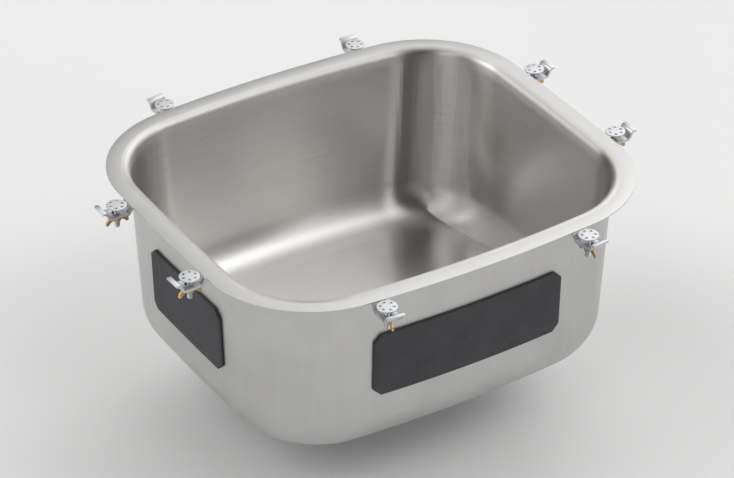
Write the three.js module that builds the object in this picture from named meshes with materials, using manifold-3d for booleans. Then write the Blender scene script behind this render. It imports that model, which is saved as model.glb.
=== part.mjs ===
// Single-bowl undermount kitchen sink: a drawn stainless bowl, its sound pads, the clamps that hold it
// under a worktop, and a basket strainer whose basket lifts out and whose stopper pulls up.
// Millimetres, +Z up. The origin is the centre of the bowl's opening, in the plane of the flange's top
// face, which is also the underside of the worktop that the sink hangs from. X runs along the long sides.

import * as THREE from "three";
import { mergeVertices } from "three/addons/utils/BufferGeometryUtils.js";
import Module from "manifold-3d";

const wasm = await Module();
wasm.setup();

// ---------------------------------------------------------------- driving dimensions, in millimetres

// Bowl, pressed from one sheet. Length and width are those of the opening, wall to wall.
const BOWL_LENGTH = 457;
const BOWL_WIDTH = 395;
const BOWL_DEPTH = 216; // from the flange's top face to the floor beside the drain recess
const SHEET = 1.25; // 18 gauge
const FLANGE_WIDTH = 25.5;
const CORNER_RADIUS = 96; // of the opening, in plan
const CORNER_GROWTH = 8; // how much larger the corner is at the foot of the wall
const LONG_SIDE_RADIUS = 1500; // the long sides bow outwards a little
const SHORT_SIDE_RADIUS = 4200;
const WALL_LEAN = THREE.MathUtils.degToRad(1.6); // the draft that lets the bowl leave its punch
const RIM_RADIUS = 6.5; // of the visible bend from the flange into the wall
const FLOOR_RADIUS = 45; // of the bend from the wall into the floor
const FLOOR_FALL = 3.5; // from the floor's edge down to the drain

// Drain hole, and the pressed recess around it.
const DRAIN_HOLE_RADIUS = 45; // the standard 3 1/2 inch drain
const RECESS_MARGIN = 12; // flat seat around the hole
const RECESS_STEP = 3;
const RECESS_SLOPE = 3; // width of the step, in plan

// Sound pads, bonded to the outside of the bowl.
const PAD_THICKNESS = 3;
const PAD_BOND = 0.5; // the adhesive behind a pad
const PAD_FROM_CORNER = 24; // from a pad's end to where the wall's corner begins
const PAD_BELOW_FLANGE = 62;
const PAD_ABOVE_BEND = 28; // from a pad's lower edge to the bend into the floor
const PAD_CHAMFER = 9; // its clipped corners
const BOTTOM_PAD_MARGIN = 6; // in from the edge of the floor
const BOTTOM_PAD_RELIEF = 12; // between the drain recess and the pad's bore

// Clamps: a strap that bears on the flange and on the worktop, drawn up by a wing nut on a glued stud.
const CLAMP_FROM_CORNER = 20;
const PLATE_RADIUS = 11; // of the stud's perforated foot
const PLATE_THICKNESS = 1.3;
const PLATE_HOLES = 6;
const PLATE_HOLE_RADIUS = 1.7;
const PLATE_TO_FLANGE = 1.5;
const STUD_RADIUS = 3; // M6
const STUD_LENGTH = 27;
const STUD_CHAMFER = 0.8;
const STRAP_WIDTH = 20;
const STRAP_THICKNESS = 2.5;
const STRAP_DROP = 9; // how far its level part hangs below the worktop
const STRAP_BITE = 8; // how far its tip reaches under the flange
const STRAP_RAMP = 5; // length of each sloping part, in plan
const STRAP_HEEL = 5; // length of the end that bears on the worktop
const STRAP_SLOT = 5; // how far the strap can shift along its slot
const NUT_RADIUS = 5.5;
const NUT_HEIGHT = 7.5;
const NUT_TAPER = 1.2; // how much narrower the hub's free end is
const WING_SPAN = 29;
const WING_RISE = 5; // how far the wings stand out past the hub
const WING_THICKNESS = 2.2;

// Basket strainer.
const STRAINER_SHEET = 1.5;
const STRAINER_LIP = 1.6; // thickness of its flange
const LIP_TO_STEP = 1; // between its flange and the step of the recess
const SEAL_THICKNESS = 1.2;
const DRAIN_CLEARANCE = 2.1; // between the strainer's thread and the drain hole
const LIP_BEND = 4; // radius from the flange into the cup
const SHOULDER_DEPTH = 14; // of the step that carries the basket, below the flange
const SHOULDER_WIDTH = 2.6;
const CUP_TAPER = 3; // how much narrower the cup is at its foot
const CUP_BEND = 8;
const OUTLET_RADIUS = 20; // bore of the 1 1/2 inch outlet, which is brazed to the cup
const OUTLET_WALL = 3.4;
const OUTLET_LENGTH = 24; // below the cup's floor
const COLLAR_REACH = 3.5; // how far the outlet's brazed collar stands out
const COLLAR_THICKNESS = 2;
const SPIDER_BAR = 4; // width of the cross in the outlet, which guides the stopper's pin
const SPIDER_HEIGHT = 4;
const SPIDER_HUB_WALL = 3.5;
const RUBBER_WASHER = 3.2; // thickness
const FIBRE_WASHER = 1.4; // thickness
const WASHER_MARGIN = 12; // beyond the drain hole
const LOCK_NUT_WALL = 7.5;
const LOCK_NUT_HEIGHT = 11;
const LOCK_NUT_LUGS = 6;
const LUG_REACH = 5;
const LUG_WIDTH = 14;
const LUG_HEIGHT = 7;

// Basket, and the stopper that is pulled up through it.
const BASKET_SHEET = 0.9;
const BASKET_RIM = 1.2; // thickness
const BASKET_CLEARANCE = 0.6; // beside its rim
const BASKET_WALL_CLEARANCE = 1.2; // below the shoulder
const BASKET_DEPTH = 20;
const BASKET_TAPER = 4.5;
const BASKET_BEND = 4;
const BASKET_SLOTS = 16;
const BASKET_SLOT_WIDTH = 3.2;
const BASKET_SLOT_HEIGHT = 9;
const BASKET_HOLE_RADIUS = 2.3;
const BASKET_HOLE_RINGS = [8, 14]; // holes in each ring, from the middle outwards
const STEM_RADIUS = 4;
const PIN_RADIUS = 2.6; // the stem's lower end, in the cross
const PIN_IN_CROSS = 3; // how much of the pin the cross still holds when the stopper is up
const STOPPER_TRAVEL = 11;
const STOPPER_OVERLAP = 6; // of the shut stopper over the cup's floor
const STOPPER_THICKNESS = 5;
const KNOB_RADIUS = 12;
const KNOB_HEIGHT = 9;
const KNOB_OVER_LIP = 4; // of the knob's top, above the strainer's flange

// Fits.
const SEAT_GAP = 0.3; // between pieces that bear on each other or are glued
const TURN_GAP = 0.35; // radial, where a thread or a stem runs in its hole

// Facets.
const CORNER_STEPS = 8;
const LONG_SIDE_STEPS = 6;
const SHORT_SIDE_STEPS = 4;
const RIM_STEPS = 3;
const WALL_STEPS = 2;
const FLOOR_BEND_STEPS = 7;
const FLOOR_STEPS = 2;
const PAD_STEPS = 6;
const ROUND_STEPS = 32; // of the strainer's round pieces
const SMALL_STEPS = 12; // of the clamps' round pieces and of the stem
const BORE_STEPS = 10;
const HOLE_STEPS = 6;

// ---------------------------------------------------------------- materials

const finish = (color, metalness, roughness) =>
  new THREE.MeshStandardMaterial({ color, metalness, roughness });
const brushedSteel = finish(0xa9a8a4, 1, 0.32);
const polishedSteel = finish(0xc4c4c2, 1, 0.16);
const zincSteel = finish(0xb4b6b8, 1, 0.38);
const brass = finish(0xb8924a, 1, 0.35);
const padRubber = finish(0x3b3c3e, 0, 0.85);
const sealRubber = finish(0x17181a, 0, 0.7);
const fibre = finish(0x9a8262, 0, 0.95);

// ---------------------------------------------------------------- small tools

const model = new THREE.Group();

function addMesh(name, geometry, material, parent = model) {
  const mesh = new THREE.Mesh(geometry, material);
  mesh.name = name;
  parent.add(mesh);
  return mesh;
}

// A closed geometry as a solid that can be joined or cut.
function solid(geometry) {
  const bare = new THREE.BufferGeometry();
  bare.setAttribute("position", geometry.getAttribute("position"));
  if (geometry.index) bare.setIndex(geometry.index);
  const merged = mergeVertices(bare, 1e-4);
  return new wasm.Manifold(
    new wasm.Mesh({
      numProp: 3,
      vertProperties: merged.attributes.position.array,
      triVerts: new Uint32Array(merged.index.array),
    }),
  );
}

function geometryOf(manifold) {
  const mesh = manifold.getMesh();
  const geometry = new THREE.BufferGeometry();
  geometry.setAttribute("position", new THREE.BufferAttribute(mesh.vertProperties, 3));
  geometry.setIndex(new THREE.BufferAttribute(mesh.triVerts, 1));
  const faceted = geometry.toNonIndexed();
  faceted.computeVertexNormals();
  return faceted;
}

// A solid of revolution about Z. The profile is [radius, z] pairs, anticlockwise with radius to the right.
function revolve(profile, steps = ROUND_STEPS) {
  const closed = profile[0][0] > 0 ? [...profile, profile[0]] : profile;
  const points = closed.map(([radius, z]) => new THREE.Vector2(radius, z));
  return new THREE.LatheGeometry(points, steps).rotateX(Math.PI / 2);
}

// A flat ring about Z.
function washer(inner, outer, bottom, top) {
  return revolve([[inner, bottom], [outer, bottom], [outer, top], [inner, top]]);
}

// Points on an arc in a profile, both ends included. Angles in degrees.
function arc(centreRadius, centreZ, radius, from, to, steps) {
  return Array.from({ length: steps + 1 }, (_, i) => {
    const angle = THREE.MathUtils.degToRad(from + ((to - from) * i) / steps);
    return [centreRadius + radius * Math.cos(angle), centreZ + radius * Math.sin(angle)];
  });
}

// An upright cylinder.
function post(radius, bottom, top, x = 0, y = 0, steps = HOLE_STEPS) {
  const geometry = new THREE.CylinderGeometry(radius, radius, top - bottom, steps);
  return geometry.rotateX(Math.PI / 2).translate(x, y, (top + bottom) / 2);
}

// `count` directions evenly around Z, the first turned by `turn` of a step.
function around(count, turn = 0) {
  return Array.from({ length: count }, (_, i) => (2 * Math.PI * (i + turn)) / count);
}

// A closed skin through rings of points that all have the same number of points. The last ring joins the
// first.
function loft(rings) {
  const size = rings[0].length;
  const position = rings.flat().flatMap((p) => [p.x, p.y, p.z]);
  const index = [];
  rings.forEach((_, k) => {
    const here = k * size;
    const next = ((k + 1) % rings.length) * size;
    for (let i = 0; i < size; i++) {
      const j = (i + 1) % size;
      index.push(here + i, next + i, next + j, here + i, next + j, here + j);
    }
  });
  const geometry = new THREE.BufferGeometry();
  geometry.setAttribute("position", new THREE.Float32BufferAttribute(position, 3));
  geometry.setIndex(index);
  geometry.computeVertexNormals();
  return geometry;
}

// ---------------------------------------------------------------- the bowl's outline, in plan

// Each side is an arc: the far long side's is centred on Y, the right short side's on X.
const LONG_SIDE_CENTRE = BOWL_WIDTH / 2 - LONG_SIDE_RADIUS;
const SHORT_SIDE_CENTRE = BOWL_LENGTH / 2 - SHORT_SIDE_RADIUS;

// Centre of the far right corner's arc, which touches both side arcs from inside.
function cornerCentre(longRadius, shortRadius, corner) {
  const fromLong = longRadius - corner;
  const fromShort = shortRadius - corner;
  const span = Math.hypot(SHORT_SIDE_CENTRE, LONG_SIDE_CENTRE);
  const along = (fromLong ** 2 - fromShort ** 2 + span ** 2) / (2 * span);
  const across = Math.sqrt(fromLong ** 2 - along ** 2);
  const dx = SHORT_SIDE_CENTRE / span;
  const dy = -LONG_SIDE_CENTRE / span;
  return new THREE.Vector2(along * dx + across * dy, LONG_SIDE_CENTRE + along * dy - across * dx);
}

// The outline's arcs, grown by `grow` and with the given corner radius. The angles are where each side
// meets the corner, from the middle of the side.
function outline(grow, corner) {
  const long = LONG_SIDE_RADIUS + grow;
  const short = SHORT_SIDE_RADIUS + grow;
  const centre = cornerCentre(long, short, corner);
  const longEnd = Math.asin(centre.x / (long - corner));
  const shortEnd = Math.asin(centre.y / (short - corner));
  return { long, short, centre, longEnd, shortEnd };
}

// Points around the outline at one height, anticlockwise from the near end of the right-hand side.
function outlineRing({ grow, z, corner }) {
  const { long, short, centre, longEnd, shortEnd } = outline(grow, corner);
  const sweep = (cx, cy, radius, from, to, steps) =>
    Array.from({ length: steps }, (_, i) => {
      const angle = from + ((to - from) * i) / steps;
      return new THREE.Vector3(cx + radius * Math.cos(angle), cy + radius * Math.sin(angle), z);
    });
  const up = Math.PI / 2;
  const half = [
    ...sweep(SHORT_SIDE_CENTRE, 0, short, -shortEnd, shortEnd, SHORT_SIDE_STEPS),
    ...sweep(centre.x, centre.y, corner, shortEnd, up - longEnd, CORNER_STEPS),
    ...sweep(0, LONG_SIDE_CENTRE, long, up - longEnd, up + longEnd, LONG_SIDE_STEPS),
    ...sweep(-centre.x, centre.y, corner, up + longEnd, 2 * up - shortEnd, CORNER_STEPS),
  ];
  return [...half, ...half.map((p) => new THREE.Vector3(-p.x, -p.y, z))];
}

// ---------------------------------------------------------------- the bowl's section

const RECESS_FOOT = DRAIN_HOLE_RADIUS + RECESS_MARGIN; // radius of the recess's flat seat
const RECESS_RADIUS = RECESS_FOOT + RECESS_SLOPE;
const SEAT_DEPTH = BOWL_DEPTH + RECESS_STEP; // of the visible face under the strainer's seal
const WALL_FOOT_DEPTH = BOWL_DEPTH - FLOOR_FALL - FLOOR_RADIUS;
const sinLean = Math.sin(WALL_LEAN);
const cosLean = Math.cos(WALL_LEAN);
const WALL_LENGTH = (WALL_FOOT_DEPTH + FLOOR_RADIUS * sinLean - RIM_RADIUS * (1 - sinLean)) / cosLean;
const FLOOR_EDGE_INSET = WALL_LENGTH * sinLean + FLOOR_RADIUS * cosLean - RIM_RADIUS * (1 - cosLean);

// Sections of the sheet from the flange's edge to the foot of the bend into the floor, `skin` behind the
// visible face.
function wallSections(skin) {
  const sections = [];
  const add = (grow, z, corner) => sections.push({ grow, z, corner });
  add(FLANGE_WIDTH, -skin, CORNER_RADIUS + FLANGE_WIDTH);
  const rim = RIM_RADIUS - skin;
  for (let i = 0; i <= RIM_STEPS; i++) {
    const turned = ((Math.PI / 2 - WALL_LEAN) * i) / RIM_STEPS;
    const grow = RIM_RADIUS - rim * Math.sin(turned);
    add(grow, -RIM_RADIUS + rim * Math.cos(turned), CORNER_RADIUS + grow);
  }
  const top = sections.at(-1);
  for (let i = 1; i < WALL_STEPS; i++) {
    const share = i / WALL_STEPS;
    const grow = top.grow - WALL_LENGTH * share * sinLean;
    add(grow, top.z - WALL_LENGTH * share * cosLean, top.corner + CORNER_GROWTH * share);
  }
  const bend = FLOOR_RADIUS + skin;
  const foot = top.grow - WALL_LENGTH * sinLean;
  for (let i = 0; i <= FLOOR_BEND_STEPS; i++) {
    const turned = WALL_LEAN + ((Math.PI / 2 - WALL_LEAN) * i) / FLOOR_BEND_STEPS;
    const grow = bend * Math.cos(turned) - FLOOR_EDGE_INSET;
    add(grow, -WALL_FOOT_DEPTH - bend * Math.sin(turned), top.corner + CORNER_GROWTH + grow - foot);
  }
  return sections;
}

// Round rings use the directions in which the floor's edge is divided, so that the loft doesn't twist.
const floorDirections = outlineRing(wallSections(0).at(-1)).map((p) => Math.atan2(p.y, p.x));
const roundRing = (radius, z) =>
  floorDirections.map((a) => new THREE.Vector3(radius * Math.cos(a), radius * Math.sin(a), z));

// A ring of the floor, `skin` behind the visible face: share 0 is the floor's edge, 1 the drain recess.
function floorRing(skin, share) {
  const edge = outlineRing(wallSections(skin).at(-1));
  const recess = roundRing(RECESS_RADIUS, -BOWL_DEPTH - skin);
  return edge.map((p, i) => p.lerp(recess[i], share));
}

function skinRings(skin) {
  const rings = wallSections(skin).map(outlineRing);
  for (let i = 1; i <= FLOOR_STEPS; i++) rings.push(floorRing(skin, i / FLOOR_STEPS));
  rings.push(roundRing(RECESS_FOOT, -SEAT_DEPTH - skin));
  rings.push(roundRing(DRAIN_HOLE_RADIUS, -SEAT_DEPTH - skin));
  return rings;
}

function bowl() {
  return loft([...skinRings(SHEET), ...skinRings(0).reverse()]);
}

// ---------------------------------------------------------------- sound pads

function bottomPad() {
  const floorWidth = BOWL_WIDTH / 2 - FLOOR_EDGE_INSET - RECESS_RADIUS;
  const face = (behind) => {
    const skin = SHEET + behind;
    const outer = floorRing(skin, BOTTOM_PAD_MARGIN / floorWidth);
    const slope = FLOOR_FALL / floorWidth;
    const boreZ = -BOWL_DEPTH - skin + BOTTOM_PAD_RELIEF * slope;
    return [outer, roundRing(RECESS_RADIUS + BOTTOM_PAD_RELIEF, boreZ)];
  };
  const [glued, gluedBore] = face(PAD_BOND);
  const [free, freeBore] = face(PAD_BOND + PAD_THICKNESS);
  return loft([glued, free, freeBore, gluedBore]);
}

// A pad on a wall follows the wall's bow and lean. Its corners are clipped.
function wallPad(radius, centre, cornerAngle) {
  const half = cornerAngle * radius - PAD_FROM_CORNER;
  const bottom = WALL_FOOT_DEPTH - PAD_ABOVE_BEND;
  const rows = [
    { depth: PAD_BELOW_FLANGE, half: half - PAD_CHAMFER },
    { depth: PAD_BELOW_FLANGE + PAD_CHAMFER, half },
    { depth: bottom - PAD_CHAMFER, half },
    { depth: bottom, half: half - PAD_CHAMFER },
  ];
  const line = (row, behind, direction) =>
    Array.from({ length: PAD_STEPS + 1 }, (_, i) => {
      const inset = (row.depth - RIM_RADIUS) * Math.tan(WALL_LEAN);
      const reach = radius - inset + SHEET / cosLean + PAD_BOND + behind;
      const angle = (direction * row.half * ((2 * i) / PAD_STEPS - 1)) / radius;
      return new THREE.Vector3(centre + reach * Math.cos(angle), reach * Math.sin(angle), -row.depth);
    });
  const wrap = rows.map((row) => [...line(row, 0, 1), ...line(row, PAD_THICKNESS, -1)]);
  return capped(wrap);
}

// A skin through rings of points, closed at both ends. Each ring's second half lies opposite its first,
// in the other direction.
function capped(rings) {
  const size = rings[0].length;
  const wide = size / 2;
  const index = [];
  const quad = (a, b, c, d) => index.push(a, b, c, a, c, d);
  for (let k = 0; k + 1 < rings.length; k++)
    for (let i = 0; i < size; i++) {
      const j = (i + 1) % size;
      quad(k * size + i, k * size + j, (k + 1) * size + j, (k + 1) * size + i);
    }
  const last = (rings.length - 1) * size;
  for (let i = 0; i + 1 < wide; i++) {
    quad(i + 1, i, size - 1 - i, size - 2 - i);
    quad(last + i, last + i + 1, last + size - 2 - i, last + size - 1 - i);
  }
  const geometry = new THREE.BufferGeometry().setFromPoints(rings.flat());
  geometry.setIndex(index);
  geometry.computeVertexNormals();
  return geometry;
}

const opening = outline(0, CORNER_RADIUS);

function addSoundPads() {
  addMesh("bottom_sound_pad", bottomPad(), padRubber);
  const long = wallPad(LONG_SIDE_RADIUS, LONG_SIDE_CENTRE, opening.longEnd);
  const short = wallPad(SHORT_SIDE_RADIUS, SHORT_SIDE_CENTRE, opening.shortEnd);
  addMesh("back_sound_pad", long, padRubber).rotation.z = Math.PI / 2;
  addMesh("front_sound_pad", long, padRubber).rotation.z = -Math.PI / 2;
  addMesh("right_sound_pad", short, padRubber);
  addMesh("left_sound_pad", short, padRubber).rotation.z = Math.PI;
}

// ---------------------------------------------------------------- clamps

// In a clamp's own frame +X points away from the bowl, x is 0 at the flange's edge and z is 0 at the
// worktop.
const STUD_AT = PLATE_TO_FLANGE + PLATE_RADIUS;
const STRAP_UNDERSIDE = -STRAP_DROP - STRAP_THICKNESS;

function strap() {
  const tipTop = -SHEET - SEAT_GAP;
  const levelFrom = STRAP_RAMP - PLATE_TO_FLANGE;
  const levelTo = STUD_AT + PLATE_RADIUS;
  const heel = levelTo + STRAP_RAMP;
  const miter = STRAP_THICKNESS * 0.6; // moves the underside's corners, so that the slopes stay as thick
  const section = new THREE.Shape();
  section.moveTo(-STRAP_BITE, tipTop);
  section.lineTo(-PLATE_TO_FLANGE, tipTop);
  section.lineTo(levelFrom, -STRAP_DROP);
  section.lineTo(levelTo, -STRAP_DROP);
  section.lineTo(heel, 0);
  section.lineTo(heel + STRAP_HEEL, 0);
  section.lineTo(heel + STRAP_HEEL, -STRAP_THICKNESS);
  section.lineTo(heel + miter, -STRAP_THICKNESS);
  section.lineTo(levelTo + miter, STRAP_UNDERSIDE);
  section.lineTo(levelFrom - miter, STRAP_UNDERSIDE);
  section.lineTo(-PLATE_TO_FLANGE - miter, tipTop - STRAP_THICKNESS);
  section.lineTo(-STRAP_BITE, tipTop - STRAP_THICKNESS);
  const bar = new THREE.ExtrudeGeometry(section, { depth: STRAP_WIDTH, bevelEnabled: false });
  bar.rotateX(Math.PI / 2).translate(0, STRAP_WIDTH / 2, 0);
  const radius = STUD_RADIUS + TURN_GAP;
  const through = [STRAP_UNDERSIDE - 1, 1 - STRAP_DROP];
  const end = (dx) => solid(post(radius, ...through, STUD_AT + dx, 0, BORE_STEPS));
  const middle = new THREE.BoxGeometry(STRAP_SLOT, 2 * radius, through[1] - through[0]);
  middle.translate(STUD_AT, 0, (through[0] + through[1]) / 2);
  const slot = end(-STRAP_SLOT / 2).add(end(STRAP_SLOT / 2)).add(solid(middle));
  return geometryOf(solid(bar).subtract(slot));
}

function stud() {
  const profile = [
    [0, -STUD_LENGTH],
    [STUD_RADIUS - STUD_CHAMFER, -STUD_LENGTH],
    [STUD_RADIUS, STUD_CHAMFER - STUD_LENGTH],
    [STUD_RADIUS, -PLATE_THICKNESS],
    [PLATE_RADIUS, -PLATE_THICKNESS],
    [PLATE_RADIUS, 0],
    [0, 0],
  ];
  let body = solid(revolve(profile, SMALL_STEPS));
  const ring = (STUD_RADIUS + PLATE_RADIUS) / 2;
  for (const angle of around(PLATE_HOLES)) {
    const at = [ring * Math.cos(angle), ring * Math.sin(angle)];
    body = body.subtract(solid(post(PLATE_HOLE_RADIUS, -PLATE_THICKNESS - 1, 1, ...at)));
  }
  return geometryOf(body).translate(STUD_AT, 0, 0);
}

function wingNut() {
  const top = STRAP_UNDERSIDE - SEAT_GAP;
  const bottom = top - NUT_HEIGHT;
  const bore = STUD_RADIUS + TURN_GAP;
  const hub = [[bore, bottom], [NUT_RADIUS - NUT_TAPER, bottom], [NUT_RADIUS, top], [bore, top]];
  const root = bore + NUT_TAPER / 2; // the wings start inside the hub's wall
  const wing = new THREE.Shape();
  wing.moveTo(root, top - 1);
  wing.lineTo(root, bottom + 1);
  wing.quadraticCurveTo(WING_SPAN / 2 - 3, bottom - WING_RISE, WING_SPAN / 2 - 1, bottom - WING_RISE + 1);
  wing.quadraticCurveTo(WING_SPAN / 2 + 1, bottom + 1, NUT_RADIUS + 1.5, top - 1);
  const plate = { depth: WING_THICKNESS, bevelEnabled: false, curveSegments: 3 };
  const right = new THREE.ExtrudeGeometry(wing, plate);
  right.translate(0, 0, -WING_THICKNESS / 2).rotateX(Math.PI / 2);
  const left = right.clone().rotateZ(Math.PI);
  const nut = solid(revolve(hub, SMALL_STEPS)).add(solid(right)).add(solid(left));
  return geometryOf(nut).translate(STUD_AT, 0, 0);
}

function addClamps() {
  const strapGeometry = strap();
  const studGeometry = stud();
  const nutGeometry = wingNut();
  const long = { centre: LONG_SIDE_CENTRE, radius: LONG_SIDE_RADIUS, corner: opening.longEnd };
  const short = { centre: SHORT_SIDE_CENTRE, radius: SHORT_SIDE_RADIUS, corner: opening.shortEnd };
  const sides = [
    { side: "right", ...short, facing: 0, ends: ["front", "back"] },
    { side: "back", ...long, facing: Math.PI / 2, ends: ["right", "left"] },
    { side: "left", ...short, facing: Math.PI, ends: ["back", "front"] },
    { side: "front", ...long, facing: -Math.PI / 2, ends: ["left", "right"] },
  ];
  for (const { side, centre, radius, corner, facing, ends } of sides) {
    const sideGroup = new THREE.Group();
    sideGroup.rotation.z = facing;
    model.add(sideGroup);
    const angle = corner - CLAMP_FROM_CORNER / radius;
    const reach = radius + FLANGE_WIDTH;
    [-angle, angle].forEach((turn, i) => {
      const clamp = new THREE.Group();
      clamp.position.set(centre + reach * Math.cos(turn), reach * Math.sin(turn), 0);
      clamp.rotation.z = turn;
      sideGroup.add(clamp);
      addMesh(`clamp_strap_${side}_${ends[i]}`, strapGeometry, zincSteel, clamp);
      addMesh(`clamp_stud_${side}_${ends[i]}`, studGeometry, zincSteel, clamp);
      addMesh(`wing_nut_${side}_${ends[i]}`, nutGeometry, brass, clamp);
    });
  }
}

// ---------------------------------------------------------------- basket strainer

const THREAD_RADIUS = DRAIN_HOLE_RADIUS - DRAIN_CLEARANCE;
const CUP_RADIUS = THREAD_RADIUS - STRAINER_SHEET; // above the shoulder that carries the basket
const SHELF_RADIUS = CUP_RADIUS - SHOULDER_WIDTH; // below it
const LIP_UNDERSIDE = SEAL_THICKNESS - SEAT_DEPTH;
const LIP_TOP = LIP_UNDERSIDE + STRAINER_LIP;
const LIP_RADIUS = RECESS_FOOT - LIP_TO_STEP;
const SHOULDER_Z = LIP_TOP - SHOULDER_DEPTH;
const BASKET_FLOOR_Z = SHOULDER_Z - BASKET_DEPTH; // the underside of the basket's floor
const STOPPER_Z = BASKET_FLOOR_Z - SEAT_GAP - STOPPER_TRAVEL - STOPPER_THICKNESS; // its underside, shut
const CUP_FLOOR_Z = STOPPER_Z - SEAT_GAP;
const OUTLET_TOP = CUP_FLOOR_Z - STRAINER_SHEET - SEAT_GAP; // also the top of its cross
const OUTLET_Z = CUP_FLOOR_Z - OUTLET_LENGTH;
const WASHER_TOP = -SEAT_DEPTH - SHEET; // the hidden face under the drain recess
const FIBRE_TOP = WASHER_TOP - RUBBER_WASHER;
const NUT_TOP = FIBRE_TOP - FIBRE_WASHER;

function strainerBody() {
  const foot = SHELF_RADIUS - CUP_TAPER;
  const bendZ = CUP_FLOOR_Z + CUP_BEND;
  const threadEnd = NUT_TOP - LOCK_NUT_HEIGHT - STRAINER_SHEET;
  const outside = [
    [OUTLET_RADIUS, CUP_FLOOR_Z - STRAINER_SHEET],
    ...arc(foot - CUP_BEND, bendZ, CUP_BEND + STRAINER_SHEET, -90, 0, 3),
    [SHELF_RADIUS + STRAINER_SHEET, threadEnd - STRAINER_SHEET],
    [THREAD_RADIUS, threadEnd],
    [THREAD_RADIUS, LIP_UNDERSIDE],
    [LIP_RADIUS, LIP_UNDERSIDE],
    [LIP_RADIUS - STRAINER_LIP / 2, LIP_TOP],
  ];
  const inside = [
    ...arc(CUP_RADIUS + LIP_BEND, LIP_TOP - LIP_BEND, LIP_BEND, 90, 180, 3),
    [CUP_RADIUS, SHOULDER_Z],
    [SHELF_RADIUS, SHOULDER_Z],
    ...arc(foot - CUP_BEND, bendZ, CUP_BEND, 0, -90, 3),
    [OUTLET_RADIUS, CUP_FLOOR_Z],
  ];
  return revolve([...outside, ...inside]);
}

function strainerOutlet() {
  const outer = OUTLET_RADIUS + OUTLET_WALL;
  const collar = outer + COLLAR_REACH;
  const tube = revolve([
    [OUTLET_RADIUS, OUTLET_Z],
    [outer, OUTLET_Z],
    [outer, OUTLET_TOP - COLLAR_THICKNESS],
    [collar, OUTLET_TOP - COLLAR_THICKNESS],
    [collar, OUTLET_TOP],
    [OUTLET_RADIUS, OUTLET_TOP],
  ]);
  let outlet = solid(tube);
  const pinBore = PIN_RADIUS + TURN_GAP;
  const crossBottom = OUTLET_TOP - SPIDER_HEIGHT;
  for (const turn of [Math.PI / 4, -Math.PI / 4]) {
    const length = 2 * (OUTLET_RADIUS + OUTLET_WALL / 2);
    const bar = new THREE.BoxGeometry(length, SPIDER_BAR, SPIDER_HEIGHT).rotateZ(turn);
    outlet = outlet.add(solid(bar.translate(0, 0, (OUTLET_TOP + crossBottom) / 2)));
  }
  const hub = post(pinBore + SPIDER_HUB_WALL, crossBottom, OUTLET_TOP, 0, 0, BORE_STEPS);
  const bore = post(pinBore, crossBottom - 1, OUTLET_TOP + 1, 0, 0, BORE_STEPS);
  return geometryOf(outlet.add(solid(hub)).subtract(solid(bore)));
}

function lockNut() {
  const bore = THREAD_RADIUS + TURN_GAP;
  const rim = bore + LOCK_NUT_WALL;
  let nut = solid(washer(bore, rim, NUT_TOP - LOCK_NUT_HEIGHT, NUT_TOP));
  for (const angle of around(LOCK_NUT_LUGS)) {
    const from = bore + LOCK_NUT_WALL / 2;
    const lug = new THREE.BoxGeometry(rim + LUG_REACH - from, LUG_WIDTH, LUG_HEIGHT);
    lug.translate((rim + LUG_REACH + from) / 2, 0, NUT_TOP - LUG_HEIGHT / 2);
    nut = nut.add(solid(lug.rotateZ(angle)));
  }
  return geometryOf(nut);
}

function addStrainer() {
  const bore = THREAD_RADIUS + TURN_GAP;
  const rim = DRAIN_HOLE_RADIUS + WASHER_MARGIN;
  const seal = washer(bore, LIP_RADIUS - LIP_TO_STEP, -SEAT_DEPTH, LIP_UNDERSIDE);
  addMesh("strainer_body", strainerBody(), polishedSteel);
  addMesh("strainer_outlet", strainerOutlet(), polishedSteel);
  addMesh("strainer_seal", seal, sealRubber);
  addMesh("rubber_washer", washer(bore, rim, FIBRE_TOP, WASHER_TOP), sealRubber);
  addMesh("fibre_washer", washer(bore, rim - 1, NUT_TOP, FIBRE_TOP), fibre);
  addMesh("lock_nut", lockNut(), zincSteel);
}

// ---------------------------------------------------------------- basket and stopper

function basketCup() {
  const wall = SHELF_RADIUS - BASKET_WALL_CLEARANCE; // outer radius under the rim
  const flat = wall - BASKET_TAPER - BASKET_BEND; // where the floor's bend begins
  const rimZ = SHOULDER_Z + SEAT_GAP;
  const rimTop = rimZ + BASKET_RIM;
  const bendZ = BASKET_FLOOR_Z + BASKET_BEND;
  const bore = STEM_RADIUS + TURN_GAP;
  let cup = solid(
    revolve([
      [bore, BASKET_FLOOR_Z],
      ...arc(flat, bendZ, BASKET_BEND, -90, 0, 3),
      [wall, rimZ],
      [CUP_RADIUS - BASKET_CLEARANCE, rimZ],
      [CUP_RADIUS - BASKET_CLEARANCE, rimTop],
      [wall - BASKET_SHEET, rimTop],
      ...arc(flat, bendZ, BASKET_BEND - BASKET_SHEET, 0, -90, 3),
      [bore, BASKET_FLOOR_Z + BASKET_SHEET],
    ]),
  );
  for (const angle of around(BASKET_SLOTS, 0.5)) {
    const slot = new THREE.BoxGeometry(3 * BASKET_TAPER, BASKET_SLOT_WIDTH, BASKET_SLOT_HEIGHT);
    slot.translate(wall - BASKET_TAPER / 2, 0, (rimZ + bendZ) / 2).rotateZ(angle);
    cup = cup.subtract(solid(slot));
  }
  BASKET_HOLE_RINGS.forEach((count, i) => {
    const ring = bore + ((flat - bore) * (i + 1)) / (BASKET_HOLE_RINGS.length + 0.5);
    for (const angle of around(count)) {
      const at = [ring * Math.cos(angle), ring * Math.sin(angle)];
      cup = cup.subtract(solid(post(BASKET_HOLE_RADIUS, BASKET_FLOOR_Z - 1, bendZ, ...at)));
    }
  });
  return geometryOf(cup);
}

const KNOB_BOTTOM = LIP_TOP + KNOB_OVER_LIP - KNOB_HEIGHT;

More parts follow.
